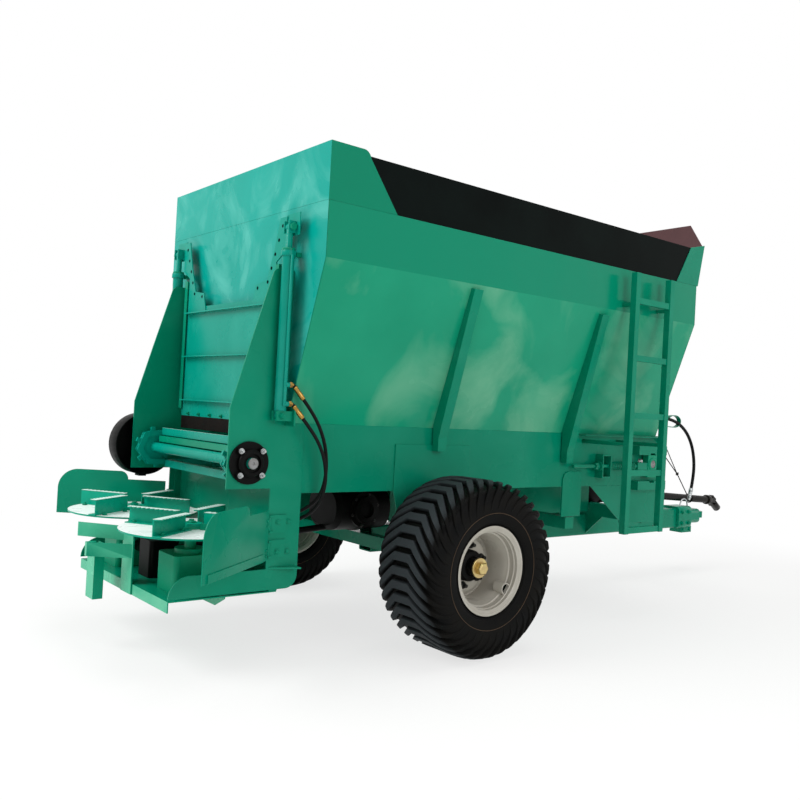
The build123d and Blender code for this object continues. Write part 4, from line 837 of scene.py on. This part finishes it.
# ---------------------------------------------------------------- hoses, sling, drive shaft
@dataclass
class Lines:
    """Hydraulic hoses with their fittings, the hook that holds one, and the drive shaft's sling."""

    gate_hose_d: float = 0.017
    front_hose_d: float = 0.022
    front_length: float = 0.806
    hook_points: int = 40
    strand: float = 0.0042

    def spline(self, name: str, routes: Sequence[Profile], diameter: float, node: str) -> bpy.types.Object:
        """Make smooth rubber tubes, each on a NURBS line whose control points are its route.

        Args:
            name: The piece's name.
            routes: The control points of each tube.
            diameter: The tube's outer diameter.
            node: The node that it stands for.

        Returns:
            The curve object.
        """
        curve = bpy.data.curves.new(name, "CURVE")
        curve.dimensions = "3D"
        curve.bevel_depth = diameter / 2
        curve.bevel_resolution = 5
        curve.use_fill_caps = True
        for route in routes:
            line = curve.splines.new("NURBS")
            line.points.add(len(route) - 1)
            weighted = np.concatenate([np.asarray(route, float), np.ones((len(route), 1))], 1)
            line.points.foreach_set("co", weighted.ravel())
            line.order_u = 3
            line.use_endpoint_u = True
            line.resolution_u = 12
        curve.materials.append(HOSE.material())
        piece = linked(name, curve)
        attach(piece, "root")
        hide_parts(node)
        LOG.info("piece %s: %d smooth tubes", name, len(routes))
        return piece

    def coupler(self, end: np.ndarray) -> bpy.types.Object:
        """Make the quick coupler on the front hose's end: crimped ferrule, nut and sleeve."""
        down = unit(np.array([-15.0, 3.0, -80.0]))
        ferrule = [
            (0.0003, 0.0118), (0.0003, 0.0142), (0.003, 0.015), (0.022, 0.015), (0.0255, 0.0135),
            (0.0255, 0.004),
        ]
        nut = [(0.026, 0.0), (0.026, 0.0165), (0.038, 0.0165), (0.040, 0.0145), (0.040, 0.0)]
        sleeve = [
            (0.0402, 0.0), (0.0402, 0.0108), (0.044, 0.0122), (0.050, 0.0122), (0.051, 0.0112),
            (0.057, 0.0112), (0.058, 0.0122), (0.070, 0.0122), (0.074, 0.0105), (0.074, 0.0088),
            (0.0855, 0.0088), (0.0855, 0.0),
        ]
        parts = [turned(shape, end, down, count) for shape, count in ((ferrule, 28), (nut, 6), (sleeve, 28))]
        return new_piece("quick_coupler", parts, ZINC, "root", ["hose_coupler"], sharp=28)

    def front_hose(self) -> None:
        """Hose to the tractor: out of the front wall, over in a bend, and down to its coupler."""
        past_axle = [
            (2.076, -0.553, 1.236), (2.165, -0.553, 1.236), (2.300, -0.560, 1.213), (2.420, -0.562, 1.150),
            (2.505, -0.561, 1.050), (2.546, -0.559, 0.930), (2.548, -0.556, 0.820), (2.533, -0.553, 0.740),
        ]
        route = [(AXLE_X + x, y, z) for x, y, z in past_axle]
        hose = self.spline("front_hose_line", [route], self.front_hose_d, "front_hose")
        coupler = self.coupler(np.array(route[-1]))
        nut = [(0.0, 0.012), (0.0, 0.0165), (0.020, 0.0165), (0.0215, 0.014)]
        seat = np.array(route[0]) - 0.0218 * X_DIR
        port = turned(nut, seat, X_DIR, segments=6)
        new_piece("front_port_nut", [port], ZINC, "root", bevel=0.0008)

    def hook(self) -> None:
        """Flat strip on the front wall, bent into an open loop round the hose."""
        count = self.hook_points
        turn = -0.62 * pi + 1.45 * pi * np.linspace(0, 1, count)
        oval = np.stack([0.075 * np.cos(turn), np.zeros(count), 0.042 * np.sin(turn)], -1)
        bend = np.array([2.262, -0.553, 1.215]) + oval
        arm = np.linspace((2.0765, -0.553, 1.182), bend[0], 12)[:-1]
        strip = np.array([(-0.0018, -0.016), (0.0018, -0.016), (0.0018, 0.016), (-0.0018, 0.016)])
        shape = swept(np.concatenate([arm, bend]) + AXLE_X * X_DIR, strip, up=Y_DIR)
        new_piece("hose_hook", [shape], ENAMEL, "root", sharp=40)

    def gate_hoses(self) -> None:
        """Two hoses from the right cylinder's ports, in an arc behind the wheel, to the wall below."""
        upper = [
            (0.6703, -0.635, 1.284), (0.692, -0.635, 1.284), (0.700, -0.635, 1.276), (0.740, -0.636, 1.232),
            (0.780, -0.637, 1.188), (0.828, -0.642, 1.125), (0.872, -0.643, 1.040), (0.900, -0.635, 0.945),
            (0.908, -0.622, 0.835), (0.892, -0.590, 0.745), (0.848, -0.535, 0.690), (0.785, -0.490, 0.662),
            (0.740, -0.466, 0.652),
        ]
        lower = [
            (0.6703, -0.635, 1.196), (0.692, -0.635, 1.196), (0.700, -0.635, 1.188), (0.740, -0.638, 1.144),
            (0.780, -0.641, 1.100), (0.828, -0.655, 1.035), (0.864, -0.666, 0.955), (0.884, -0.664, 0.860),
            (0.880, -0.645, 0.760), (0.862, -0.598, 0.690), (0.824, -0.535, 0.645), (0.782, -0.500, 0.622),
            (0.740, -0.478, 0.608),
        ]
        routes = [np.array(route) + TAIL_X * X_DIR for route in (upper, lower)]
        self.spline("gate_hose_lines", routes, self.gate_hose_d, "gate_hoses")
        nut = [(-0.0002, 0.0), (-0.0002, 0.0145), (0.012, 0.0145), (0.0135, 0.0115)]
        neck = [(0.0135, 0.0), (0.0135, 0.0095), (0.020, 0.0095), (0.024, 0.007)]
        sleeve = [
            (0.000, 0.0088), (0.000, 0.0108), (0.006, 0.0122), (0.012, 0.0108), (0.040, 0.0108),
            (0.042, 0.0118), (0.072, 0.0118), (0.075, 0.0088),
        ]
        ferrule = [(0.0, 0.0088), (0.0, 0.0118), (0.018, 0.0125), (0.020, 0.011)]
        fittings = []
        for route in routes:
            last = route[-1] - route[-2]
            fittings += [
                turned(nut, route[0], X_DIR, segments=6),
                turned(neck, route[0], X_DIR, segments=24),
                turned(sleeve, route[2], route[3] - route[2], segments=24),
                turned(ferrule, route[-1] - 0.02 * unit(last), last, segments=24),
            ]
        new_piece("gate_hose_fittings", fittings, BRASS, "root", sharp=28)

    def sling(self) -> None:
        """Laid cord of three strands: radius = strand * (1 + 0.13 cos 3a), a growing along the cord."""
        a = np.arange(15) * tau / 15
        section = (1 + 0.13 * np.cos(3 * a))[:, None] * circle(self.strand, 15)
        top_x, knot = AXLE_X + 2.081, np.array([AXLE_X + 3.205, 0.0, 0.787])
        shells = []
        for start in ((top_x, -0.350, 1.571), (top_x, -0.300, 1.366)):
            t = np.linspace(0, 1, 120)[:, None]
            path = np.asarray(start) * (1 - t) + knot * t - Z_DIR * 0.012 * 4 * t * (1 - t)
            shells.append(swept(path, section, twist=np.linspace(0, 60 * tau, 120)))
        centre = np.array([AXLE_X + 3.390, 0.0, 0.584])
        ring = placed(circle(0.0343, 72), centre, Y_DIR, Z_DIR)
        shells.append(swept(ring, section, up=X_DIR, closed=True, twist=np.arange(72) * tau / 72 * 8))
        t = np.linspace(0, 1, 60)[:, None]
        down = (centre + 0.036 * unit(knot - centre)) * t + knot * (1 - t)
        shells.append(swept(down, section, twist=np.linspace(0, 15 * tau, 60)))
        turns = np.linspace(0, 2 * tau, 60)
        coil = np.stack([0.006 * np.cos(turns), 0.009 * np.sin(turns), np.linspace(-0.010, 0.010, 60)], -1)
        shells.append(swept(knot + coil, section * 0.9))
        new_piece("sling_cord", shells, ROPE, "root", ["shaft_sling"], sharp=60)

    def build(self) -> None:
        """Make the hoses, fittings, hook and sling."""
        self.front_hose()
        self.hook()
        self.gate_hoses()
        self.sling()


# ---------------------------------------------------------------- floor-chain take-up
@dataclass
class TakeUp:
    """Screw tensioner of the floor chain on each side of the chassis."""

    height: float = 0.905
    half: float = 0.595
    face_half: float = 0.6203
    back_half: float = 0.5603
    slide_x: float = AXLE_X + 1.950
    spring_from: float = AXLE_X + 1.507
    spring_to: float = AXLE_X + 1.750
    spring_r: float = 0.0225
    wire_r: float = 0.0042
    coils: float = 13.0

    def spring(self, side: int) -> Shell:
        """Coil spring: x grows while the point goes round, in smaller steps near both ends."""
        t = np.linspace(0, 1, int(self.coils * 22))
        turns = self.coils * tau * t
        x = self.spring_from + (self.spring_to - self.spring_from) * (t - 0.06 * np.sin(tau * t))
        y = side * self.half + self.spring_r * np.cos(turns)
        z = self.height + self.spring_r * np.sin(turns)
        return swept(np.stack([x, y, z], -1), circle(self.wire_r, 9), up=X_DIR)

    def body(self, side: int) -> list[Shell]:
        """Bracket, notched slide rails, screw with its nut and washers, and the screw's fork."""
        inner, outer = sorted((side * self.back_half, side * self.face_half))
        middle = (AXLE_X, side * self.half, self.height)
        shells = [
            block((AXLE_X + x0, inner, self.height + z0), (AXLE_X + x1, outer, self.height + z1))
            for x0, x1, z0, z1 in (
                (1.415, 1.425, -0.075, 0.075), (1.495, 1.505, -0.075, 0.075),
                (1.420, 1.500, -0.075, -0.065), (1.420, 1.500, 0.065, 0.075),
            )
        ]
        for notched, plain, deep in ((0.075, 0.135, 0.012), (-0.099, -0.159, -0.012)):
            rail = [
                (1.795, notched), (1.92, notched), (1.93, notched + deep), (1.97, notched + deep),
                (1.98, notched), (2.109, notched), (2.109, plain), (1.795, plain),
            ]
            shells.append(plate(rail, (AXLE_X, outer, self.height), X_DIR, Z_DIR, outer - inner))
        screw = [(1.155, 0.0), (1.155, 0.010), (1.158, 0.012), (1.944, 0.012), (1.944, 0.0)]
        nut = [(1.360, 0.012), (1.360, 0.024), (1.393, 0.024), (1.398, 0.020)]
        washer = [(1.398, 0.012), (1.398, 0.034), (1.404, 0.034), (1.404, 0.012)]
        seat = [(1.750, 0.012), (1.750, 0.029), (1.757, 0.029), (1.757, 0.012)]
        for shape, count in ((screw, 24), (nut, 6), (washer, 32), (seat, 32)):
            shells.append(turned(shape, middle, X_DIR, count))
        low, high = np.array([1.795, -0.019, -0.024]), np.array([1.901, 0.019, 0.024])
        return [*shells, block(middle + low, middle + high)]

    def build(self) -> None:
        """Make the green bodies, and the springs, bearings and shaft ends in them."""
        green, steel, springs, bearings = [], [], [], []
        lip = [(0.022, 0.027), (0.022, 0.046), (0.030, 0.042), (0.0305, 0.027)]
        end = [
            (0.0, 0.0), (0.0, 0.025), (0.0035, 0.025), (0.0045, 0.023), (0.0045, 0.008), (0.001, 0.004),
            (0.001, 0.0),
        ]
        for _, side in SIDES:
            y, z, out = side * self.half, self.height, Y_DIR * side
            green += self.body(side)
            springs.append(self.spring(side))
            bearings += [
                block((AXLE_X + 1.900, y - 0.024, z - 0.0745), (AXLE_X + 2.000, y + 0.022, z + 0.0745)),
                turned(lip, (self.slide_x, y, z + 0.014), out, 40, ring=True),
            ]
            steel.append(turned(end, (self.slide_x, side * 0.6201, 0.919), out, 36))
        new_piece("take_up_frames", green, ENAMEL, "root", ["tensioners"], bevel=0.0015)
        new_piece("take_up_springs", springs, ENAMEL, "root", sharp=60)
        new_piece("take_up_bearings", bearings, CASTING, "root", bevel=0.0025)
        new_piece("idler_shaft_ends", steel, STEEL, "root", sharp=28)


# ---------------------------------------------------------------- rear end
@dataclass
class RearDrive:
    """Raised ring, bolts and shaft end on the bearing of the floor chain's rear shaft."""

    shaft_x: float = TAIL_X + 0.523
    shaft_z: float = 0.919
    flange_face: float = -0.590
    bearing_face: float = -0.605
    bolt_circle: float = 0.078
    pad_t: float = 0.003

    def build(self) -> None:
        """Make the ring with its pads, the bolts on them, and the shaft's end."""
        centre = np.array([self.shaft_x, self.flange_face, self.shaft_z])
        lip = [(SEAT, 0.044), (SEAT, 0.064), (0.006, 0.062), (0.012, 0.054), (0.0125, 0.044)]
        ring = turned(lip, centre, -Y_DIR, 48, ring=True)
        spots = placed(circle(self.bolt_circle, 4, radians(45)), centre - SEAT * Y_DIR, X_DIR, Z_DIR)
        pads = turned([(0.0, 0.017), (self.pad_t, 0.016)], segments=20).at(frames_on(spots, -Y_DIR))
        new_piece("bearing_ring", [ring, pads], BLACK, "root", sharp=28)
        bolts = bolt(0.012, 0.8).at(frames_on(spots - Y_DIR * self.pad_t, -Y_DIR, 0.3))
        new_piece("bearing_bolts", [bolts], ZINC, "root", sharp=25)
        shape = [
            (0.0, 0.0), (0.0, 0.0258), (0.004, 0.0258), (0.006, 0.0235), (0.006, 0.007), (0.002, 0.004),
            (0.002, 0.0),
        ]
        end = turned(shape, (self.shaft_x, self.bearing_face - SEAT, self.shaft_z), -Y_DIR, 36)
        new_piece("drive_shaft_end", [end], STEEL, "root", sharp=28)


@dataclass
class Spinners:
    """Bolts, guide fins and saw-toothed vane tops on the two spinner discs."""

    disc_x: float = TAIL_X + 0.365
    half: float = 0.345
    top: float = 0.600
    vanes: int = 4
    vane_turn: float = 35.0
    vane_h: float = 0.0745
    vane_start: float = 0.062
    vane_length: float = 0.265
    teeth: int = 11
    tooth_root: float = 0.022
    tooth_tip: float = 0.042
    crest_t: float = 0.0014

    def crest(self, middle: np.ndarray, along: np.ndarray, free: np.ndarray, lift: float) -> Shell:
        """Saw-toothed strip lying on a vane's top flange, its teeth beyond the flange's own.

        Args:
            middle: The disc's middle, on its top.
            along: Direction of the vane.
            free: Direction square to it, toward the free edge.
            lift: Height of the strip's underside over the vane.

        Returns:
            The shell.
        """
        pitch = self.vane_length / self.teeth
        steps = np.arange(self.teeth)[::-1, None] * pitch
        roots = np.concatenate([steps + pitch, np.full_like(steps, self.tooth_root)], 1)
        tips = np.concatenate([steps + pitch / 2, np.full_like(steps, self.tooth_tip)], 1)
        saw = np.stack([roots, tips], 1).reshape(-1, 2)
        outline = np.concatenate([[(0.0, 0.0), (self.vane_length, 0.0)], saw, [(0.0, self.tooth_root)]])
        start = middle + self.vane_start * along + Z_DIR * (self.vane_h + lift)
        return plate(outline, start, along, free, self.crest_t)

    def build(self) -> None:
        """Put a bolt near each vane's ends, a hub nut, four small fins round it, and the vane tops."""
        ways = circle(1.0, self.vanes, radians(self.vane_turn))
        out = placed(ways, (0, 0, 0), X_DIR, Y_DIR)
        across = placed(ways, (0, 0, 0), Y_DIR, -X_DIR)
        dome = [(0.0, 0.0), (0.0, 0.058), (0.010, 0.056), (0.012, 0.036), (0.012, 0.0)]
        fin = [(0, 0), (0.052, 0), (0.052, 0.012), (0.034, 0.030), (0, 0.030)]
        for name, side in SIDES:
            body = f"disc_{name}"
            middle = np.array([self.disc_x, side * self.half, self.top + SEAT])
            spots = np.concatenate([middle + reach * out + 0.024 * across for reach in (0.285, 0.115)])
            bolts = bolt(0.012, 0.4).at(frames_on(spots, Z_DIR))
            nut = bolt(0.024, 0.3).at(frames_on([middle + Z_DIR * 0.012], Z_DIR))
            heads = [bolts, turned(dome, middle, Z_DIR, 40), nut]
            new_piece(f"disc_bolts_{name}", heads, ENAMEL, body, sharp=25)
            fins, crests = [], []
            for along, beside in zip(out, across):
                fins.append(plate(fin, middle + 0.062 * along - 0.030 * beside, along, Z_DIR, 0.004))
                crests.append(self.crest(middle, along, -side * beside, 0.0008 if side < 0 else 0.0024))
            new_piece(f"disc_fins_{name}", fins, ENAMEL, body, bevel=0.0008)
            # The vane crests carry a painted highlight for the sunlit vane tops.
            new_piece(f"vane_crests_{name}", crests, VANE_TOP_HIGHLIGHT, body, sharp=25)


@dataclass
class FlapHinges:
    """Round-headed bolts that hold the hinges to the rear side plates and to the flaps."""

    hinge_x: float = TAIL_X + 0.645
    plate_half: float = 0.560
    heights: tuple[float, float] = (0.505, 0.643)
    flap_turn: float = 36.5
    flap_half_t: float = 0.0025
    leaf_reach: float = 0.028
    leaf_step: float = 0.012

    def head(self, radius: float) -> Shell:
        """Washer and low domed head on z = 0."""
        rise, wide = 0.003, 1.35 * radius
        dome = [
            (0, wide), (0.0025, wide), (0.0028, radius), (0.3 * radius + rise, 0.94 * radius),
            (0.55 * radius + rise, 0.6 * radius), (0.55 * radius + rise, 0.0),
        ]
        return turned(dome, segments=24)

    def build(self) -> None:
        """Make the heads on the plates, and those on each flap's hinge leaf."""
        fixed = []
        turn = radians(self.flap_turn)
        for name, side in SIDES:
            for dx, lift in ((0.048, 0.0086), (0.109, SEAT)):
                spots = [(self.hinge_x + dx, side * (self.plate_half + lift), z) for z in self.heights]
                fixed.append(self.head(0.011).at(frames_on(spots, Y_DIR * side)))
            along = np.array([-cos(turn), side * sin(turn), 0.0])
            normal = np.array([sin(turn), side * cos(turn), 0.0])
            start = np.array([self.hinge_x, side * (self.plate_half + 0.010), 0.0])
            face = start + self.leaf_reach * along + (self.flap_half_t + SEAT) * normal
            pair = (-self.leaf_step, self.leaf_step)
            spots = [face + Z_DIR * (z + dz) for z in self.heights for dz in pair]
            leaf = self.head(0.006).at(frames_on(spots, normal))
            new_piece(f"leaf_bolts_{name}", [leaf], ENAMEL, f"flap_{name}_body", sharp=28)
        new_piece("hinge_bolts", fixed, ENAMEL, "root", sharp=28)


@dataclass
class UnderFrame:
    """Line shaft's housing, cover and guard, and the valve beside it, below the chassis sides."""

    box_x: tuple[float, float] = (AXLE_X - 0.280, AXLE_X + 0.095)
    box_z: tuple[float, float] = (0.497, 0.752)
    box_half: float = 0.170
    cap_bolts: int = 6
    cap_circle: float = 0.088
    cover_x: tuple[float, float] = (AXLE_X + 0.110, AXLE_X + 1.930)
    cover_z: tuple[float, float] = (0.540, 0.766)
    cover_half: float = 0.115
    cover_corner: float = 0.020
    shaft_front: tuple[float, float, float] = (AXLE_X + 1.952, 0.0, 0.685)
    yoke: tuple[float, float, float] = (AXLE_X + 3.730, 0.0, 0.560)

    @staticmethod
    def along_x(section: np.ndarray, x: float) -> np.ndarray:
        """Stand a section of (y, z) at x."""
        return placed(section, X_DIR * x, Y_DIR, Z_DIR)

    def housing(self) -> Shell:
        """Cast box: rounded sections along X, drawn in at both ends."""
        (x0, x1), (z0, z1), w = self.box_x, self.box_z, self.box_half
        section = smoothed([(-w, z0), (w, z0), (w, z1), (-w, z1)], 3)
        middle = np.array([0.0, (z0 + z1) / 2])
        stations = (
            (0.0, 0.80), (0.03, 0.90), (0.06, 1.0), (0.44, 1.0), (0.46, 1.06), (0.54, 1.06), (0.56, 1.0),
            (0.94, 1.0), (0.97, 0.90), (1.0, 0.80),
        )
        rows = [
            self.along_x(middle + (section - middle) * size, x0 + share * (x1 - x0))
            for share, size in stations
        ]
        return surface(np.array(rows))

    def box(self) -> None:
        """Make the housing with its side caps and feet, and the caps' bolts."""
        x_mid, z_mid = sum(self.box_x) / 2, sum(self.box_z) / 2
        cap = [
            (0.0, 0.0), (0.0, 0.100), (0.010, 0.100), (0.012, 0.078), (0.030, 0.074), (0.034, 0.045),
            (0.020, 0.040), (0.020, 0.0),
        ]
        foot = [(-0.15, 0), (0.15, 0), (0.12, 0.05), (-0.12, 0.05)]
        shells, heads = [self.housing()], []
        for _, side in SIDES:
            out = Y_DIR * side
            face = np.array([x_mid - 0.02, side * (self.box_half - 0.004), z_mid])
            spots = placed(circle(self.cap_circle, self.cap_bolts, 0.3), face + out * 0.0102, X_DIR, Z_DIR)
            heads.append(bolt(0.010, 0.2).at(frames_on(spots, out)))
            shells.append(turned(cap, face, out, 48))
            shells.append(plate(foot, (x_mid, side * 0.12, 0.735), X_DIR, Z_DIR, 0.008))
        new_piece("line_housing", shells, BLACK_CASTING, "root", sharp=30)
        new_piece("line_housing_bolts", heads, CHAIN, "root", sharp=25)

    def cover(self) -> None:
        """Make the green sheet over the shaft, open below."""
        (z0, z1), w, cut = self.cover_z, self.cover_half, self.cover_corner
        skin = [(-w, z0), (-w, z1 - cut), (-w + cut, z1), (w - cut, z1), (w, z1 - cut), (w, z0)]
        inner = [(y * 0.965, z - (0.004 if z > z0 else 0)) for y, z in reversed(skin)]
        ends = [self.along_x(np.array(skin + inner), x) for x in self.cover_x]
        new_piece("shaft_cover", [surface(np.array(ends))], ENAMEL, "root", sharp=30)

    def guard(self) -> None:
        """Make the bell round the drive shaft's rear joint, and the valve block below with two ports."""
        ahead = unit(np.array(self.yoke) - np.array(self.shaft_front))
        bell = [
            (0.002, 0.036), (0.002, 0.098), (0.020, 0.104), (0.150, 0.104), (0.158, 0.096), (0.300, 0.082),
            (0.318, 0.074), (0.318, 0.050), (0.020, 0.036),
        ]
        port = [(0.0, 0.0), (0.0, 0.020), (0.020, 0.020), (0.024, 0.014), (0.060, 0.014), (0.060, 0.0)]
        shells = [
            turned(bell, self.shaft_front, ahead, 48, ring=True),
            block((AXLE_X + 2.03, -0.052, 0.5135), (AXLE_X + 2.27, 0.052, 0.572)),
            *(turned(port, (AXLE_X + x, -0.052, 0.545), -Y_DIR, 20) for x in (2.08, 2.20)),
        ]
        new_piece("shaft_guard", shells, BLACK, "root", sharp=30)

    def build(self) -> None:
        """Make the housing, the cover and the guard."""
        self.box()
        self.cover()
        self.guard()


@dataclass
class TowHead:
    """Bolts and lifting handle on the head that carries the tow eye."""

    front: float = 2.005
    beam_z: float = 0.440
    head_half: float = 0.085
    shank_half: float = 0.055

    def build(self) -> None:
        """Make the handle on top of the head and the bolts on its sides and below."""
        t = np.linspace(0, pi, 30)
        bow = np.stack([0.052 * np.cos(t), np.zeros(30), 0.058 * np.sin(t)], -1)
        foot = np.array([self.front + 0.120, -0.045, self.beam_z + 0.088])
        handle = swept(foot + bow, circle(0.006, 12), up=Y_DIR)
        new_piece("head_handle", [handle], ZINC, "root", sharp=60)
        heads = []
        for _, side in SIDES:
            out = Y_DIR * side
            y = side * (self.head_half + SEAT)
            spots = [(self.front + x, y, self.beam_z + z) for x in (0.045, 0.135) for z in (-0.045, 0.045)]
            heads.append(bolt(0.016, 0.25).at(frames_on(spots, out, 0.2)))
            y = side * (self.shank_half + SEAT)
            spots = [(self.front + x, y, self.beam_z - 0.103) for x in (0.115, 0.205)]
            heads.append(screw_head(0.014).at(frames_on(spots, out)))
        new_piece("head_bolts", heads, ENAMEL, "root", sharp=25)


@dataclass
class GateFittings:
    """Bolts, pins and glands on the gate and its two cylinders, and near-black discs painted as the shade in
    the strap holes.
    """

    gate_rear: float = TAIL_X + 0.670 - 0.0025
    strap_t: float = 0.0050
    bolt_step: float = 0.130
    cyl_x: float = TAIL_X + 0.650
    cyl_half: float = 0.600
    lower_pin: float = 1.139
    upper_pin: float = 2.010
    gland_z: float = 1.900

    def build(self) -> None:
        """Make the pieces that ride on the gate and those that stay on the machine."""
        row = [(self.gate_rear - SEAT, 0.009 + self.bolt_step * k, 1.113) for k in range(-3, 4)]
        bolts = bolt(0.009, 0.8).at(frames_on(row, -X_DIR, 0.2))
        new_piece("gate_bolts", [bolts], ENAMEL, "gate_body", sharp=25)
        gland = [(0.0003, 0.017), (0.0003, 0.031), (0.010, 0.031), (0.013, 0.028), (0.013, 0.017)]
        hole = turned([(0.0, 0.0), (0.0, 0.0085), (0.0006, 0.0082), (0.0006, 0.0)], segments=18)
        fixed, moving, holes = [], [], []
        rear = self.gate_rear - self.strap_t
        for _, side in SIDES:
            y, out = side * self.cyl_half, Y_DIR * side
            lower = [(self.cyl_x, y + side * 0.025, self.lower_pin)]
            upper = [(self.cyl_x, y + side * 0.027, self.upper_pin)]
            fixed += [
                turned(gland, (self.cyl_x, y, self.gland_z), Z_DIR, 40, ring=True),
                bolt(0.015, 0.3).at(frames_on(lower, out, 0.3)),
            ]
            moving.append(screw_head(0.020).at(frames_on(upper, out, 0.1)))
            line = np.linspace((rear, side * 0.515, 2.030), (rear, side * 0.400, 1.775), 5)
            spots = np.concatenate([line, [(rear, side * 0.305, 1.753)]])
            holes.append(hole.at(frames_on(spots, -X_DIR)))
        new_piece("cylinder_fittings", fixed, ENAMEL, "root", sharp=28)
        new_piece("upper_pin_heads", moving, ENAMEL, "gate_body", sharp=25)
        # Near-black discs painted as the shade in the strap holes.
        new_piece("strap_holes", holes, HOLE_SHADE, "gate_body")


# ---------------------------------------------------------------- studio
@dataclass
class Studio:
    """Camera, lamps, world and floor."""

    eye: tuple[float, float, float] = (-4.0994, -3.9852, 1.2037)
    azimuth: float = -38.8843
    pitch: float = -0.5564
    roll: float = 3.0843
    lens: float = 38.18
    ambient: float = 0.50
    floor_reach: float = 60.0
    floor_z: float = -0.0005
    own_light: float = 0.72
    fade: tuple[float, float] = (2.6, 5.0)

    def camera(self) -> None:
        """Set the camera from its azimuth, pitch and roll."""
        turn, tip, roll = radians(self.azimuth), radians(self.pitch), radians(self.roll)
        ahead = np.array([-sin(turn) * cos(tip), cos(turn) * cos(tip), -sin(tip)])
        level = np.array([cos(turn), sin(turn), 0])
        down = np.cross(ahead, level)
        right = cos(roll) * level - sin(roll) * down
        below = sin(roll) * level + cos(roll) * down
        data = bpy.data.cameras.new("camera")
        data.lens = self.lens
        data.sensor_width = 36
        data.clip_end = 200
        camera = linked("camera", data)
        camera.matrix_world = self.matrix((right, -below, -ahead), self.eye)
        bpy.context.scene.camera = camera

    @staticmethod
    def matrix(axes: Sequence[np.ndarray], place: Vector) -> Matrix:
        """Matrix of an object with those three axes at that place."""
        whole = np.eye(4)
        whole[:3, :3] = np.stack(axes, -1)
        whole[:3, 3] = place
        return Matrix(whole.tolist())

    def lamp(self, name: str, place: Vector, aim: Vector, size: float, power: float) -> None:
        """Add a soft area lamp at a place, turned to its aim."""
        data = bpy.data.lights.new(name, "AREA")
        data.shape = "DISK"
        data.size = size
        data.energy = power
        along, across, up = frame_axes(np.asarray(place, float) - np.asarray(aim, float))
        linked(name, data).matrix_world = self.matrix((across, up, along), place)

    def world(self) -> None:
        """White where the camera, reflections and glass look; an even dimmer level elsewhere."""
        world = bpy.data.worlds.new("studio")
        bpy.context.scene.world = world
        tree = cleared(world)
        white = (1, 1, 1, 1)
        soft = add_node(tree, "Background", {"Color": white, "Strength": self.ambient}).outputs[0]
        bright = add_node(tree, "Background", {"Color": white, "Strength": 1.0}).outputs[0]
        mixed = add_node(tree, "MixShader", {0: self.seen(tree), 1: soft, 2: bright})
        add_node(tree, "OutputWorld", {"Surface": mixed.outputs[0]})

    @staticmethod
    def seen(tree: Tree) -> Socket:
        """1 for rays from the camera, a reflection or a refraction."""
        rays = add_node(tree, "LightPath").outputs
        both = sums(tree, "ADD", rays["Is Camera Ray"], rays["Is Glossy Ray"])
        inputs = {0: both, 1: rays["Is Transmission Ray"]}
        return add_node(tree, "Math", inputs, operation="ADD", use_clamp=True).outputs[0]

    def floor(self) -> None:
        """Pale painted floor, most of whose brightness is its own, and all of it beyond the machine."""
        mesh = bpy.data.meshes.new("studio_floor")
        square = self.floor_reach * np.array([(-1, -1), (1, -1), (1, 1), (-1, 1)])
        corners = placed(square, Z_DIR * self.floor_z, X_DIR, Y_DIR)
        mesh.from_pydata(corners.tolist(), [], [(0, 1, 2, 3)])
        floor = linked("studio_floor", mesh)
        made = bpy.data.materials.new("painted_studio_floor")
        tree = cleared(made)
        place = add_node(tree, "TexCoord").outputs["Object"]
        away = add_node(tree, "VectorMath", {0: place}, operation="LENGTH").outputs["Value"]
        near, far = self.fade
        inputs = {"Value": away, "From Min": near, "From Max": far, "To Min": self.own_light}
        own = add_node(tree, "MapRange", inputs, interpolation_type="SMOOTHSTEP").outputs[0]
        share = sums(tree, "MULTIPLY", own, self.seen(tree))
        tone = mix(tree, noise(tree, place, 25.0, 2.0), linear("#F2F2F0"), linear("#EDEDEB"))
        inputs = {"Base Color": tone, "Roughness": 0.8, "Specular IOR Level": 0.1}
        paint = add_node(tree, "BsdfPrincipled", inputs).outputs[0]
        glow = add_node(tree, "Emission", {"Color": (1, 1, 1, 1), "Strength": 1.0}).outputs[0]
        mixed = add_node(tree, "MixShader", {0: share, 1: paint, 2: glow})
        add_node(tree, "OutputMaterial", {"Surface": mixed.outputs[0]})
        mesh.materials.append(made)

    def build(self) -> None:
        """Set up everything round the machine."""
        bpy.context.scene.view_settings.view_transform = "Standard"
        self.camera()
        self.world()
        self.floor()
        self.lamp("key", (-7.5, 2.0, 6.5), (-1.0, 0, 1.2), 5.0, 500)
        self.lamp("fill", (-1.0, -9.0, 3.5), (0, 0, 1.2), 5.0, 190)
        self.lamp("top", (0.0, 0.0, 8.5), (0, 0, 0), 6.0, 300)


def dress_nodes() -> None:
    """Give every node its finish, and round the edges of the sheet and bar work."""
    slots = {part["node"]: part["material_slot"] for part in frame["record"]["subparts"]}
    for name, piece in frame["nodes"].items():
        finish = NODE_FINISH.get(name, SLOT_FINISH[slots[name]])
        piece.data.materials.clear()
        piece.data.materials.append(finish.material())
        if name not in PLAIN_NODES:
            weld = piece.modifiers.new("merged", "WELD")
            weld.merge_threshold = NODE_MERGE
            add_bevel(piece, NODE_EDGE)
    LOG.info("nodes dressed: %d", len(frame["nodes"]))


def main() -> None:
    """Build the studio, then every sub-assembly in order."""
    logging.basicConfig(level=logging.INFO, format="%(name)s %(message)s")
    Studio().build()
    Lines().build()
    dress_nodes()
    Wheels().build()
    TakeUp().build()
    RearDrive().build()
    Spinners().build()
    FlapHinges().build()
    UnderFrame().build()
    GateFittings().build()
    TowHead().build()
    LOG.info("all pieces built")


if __name__ == "__main__":
    main()
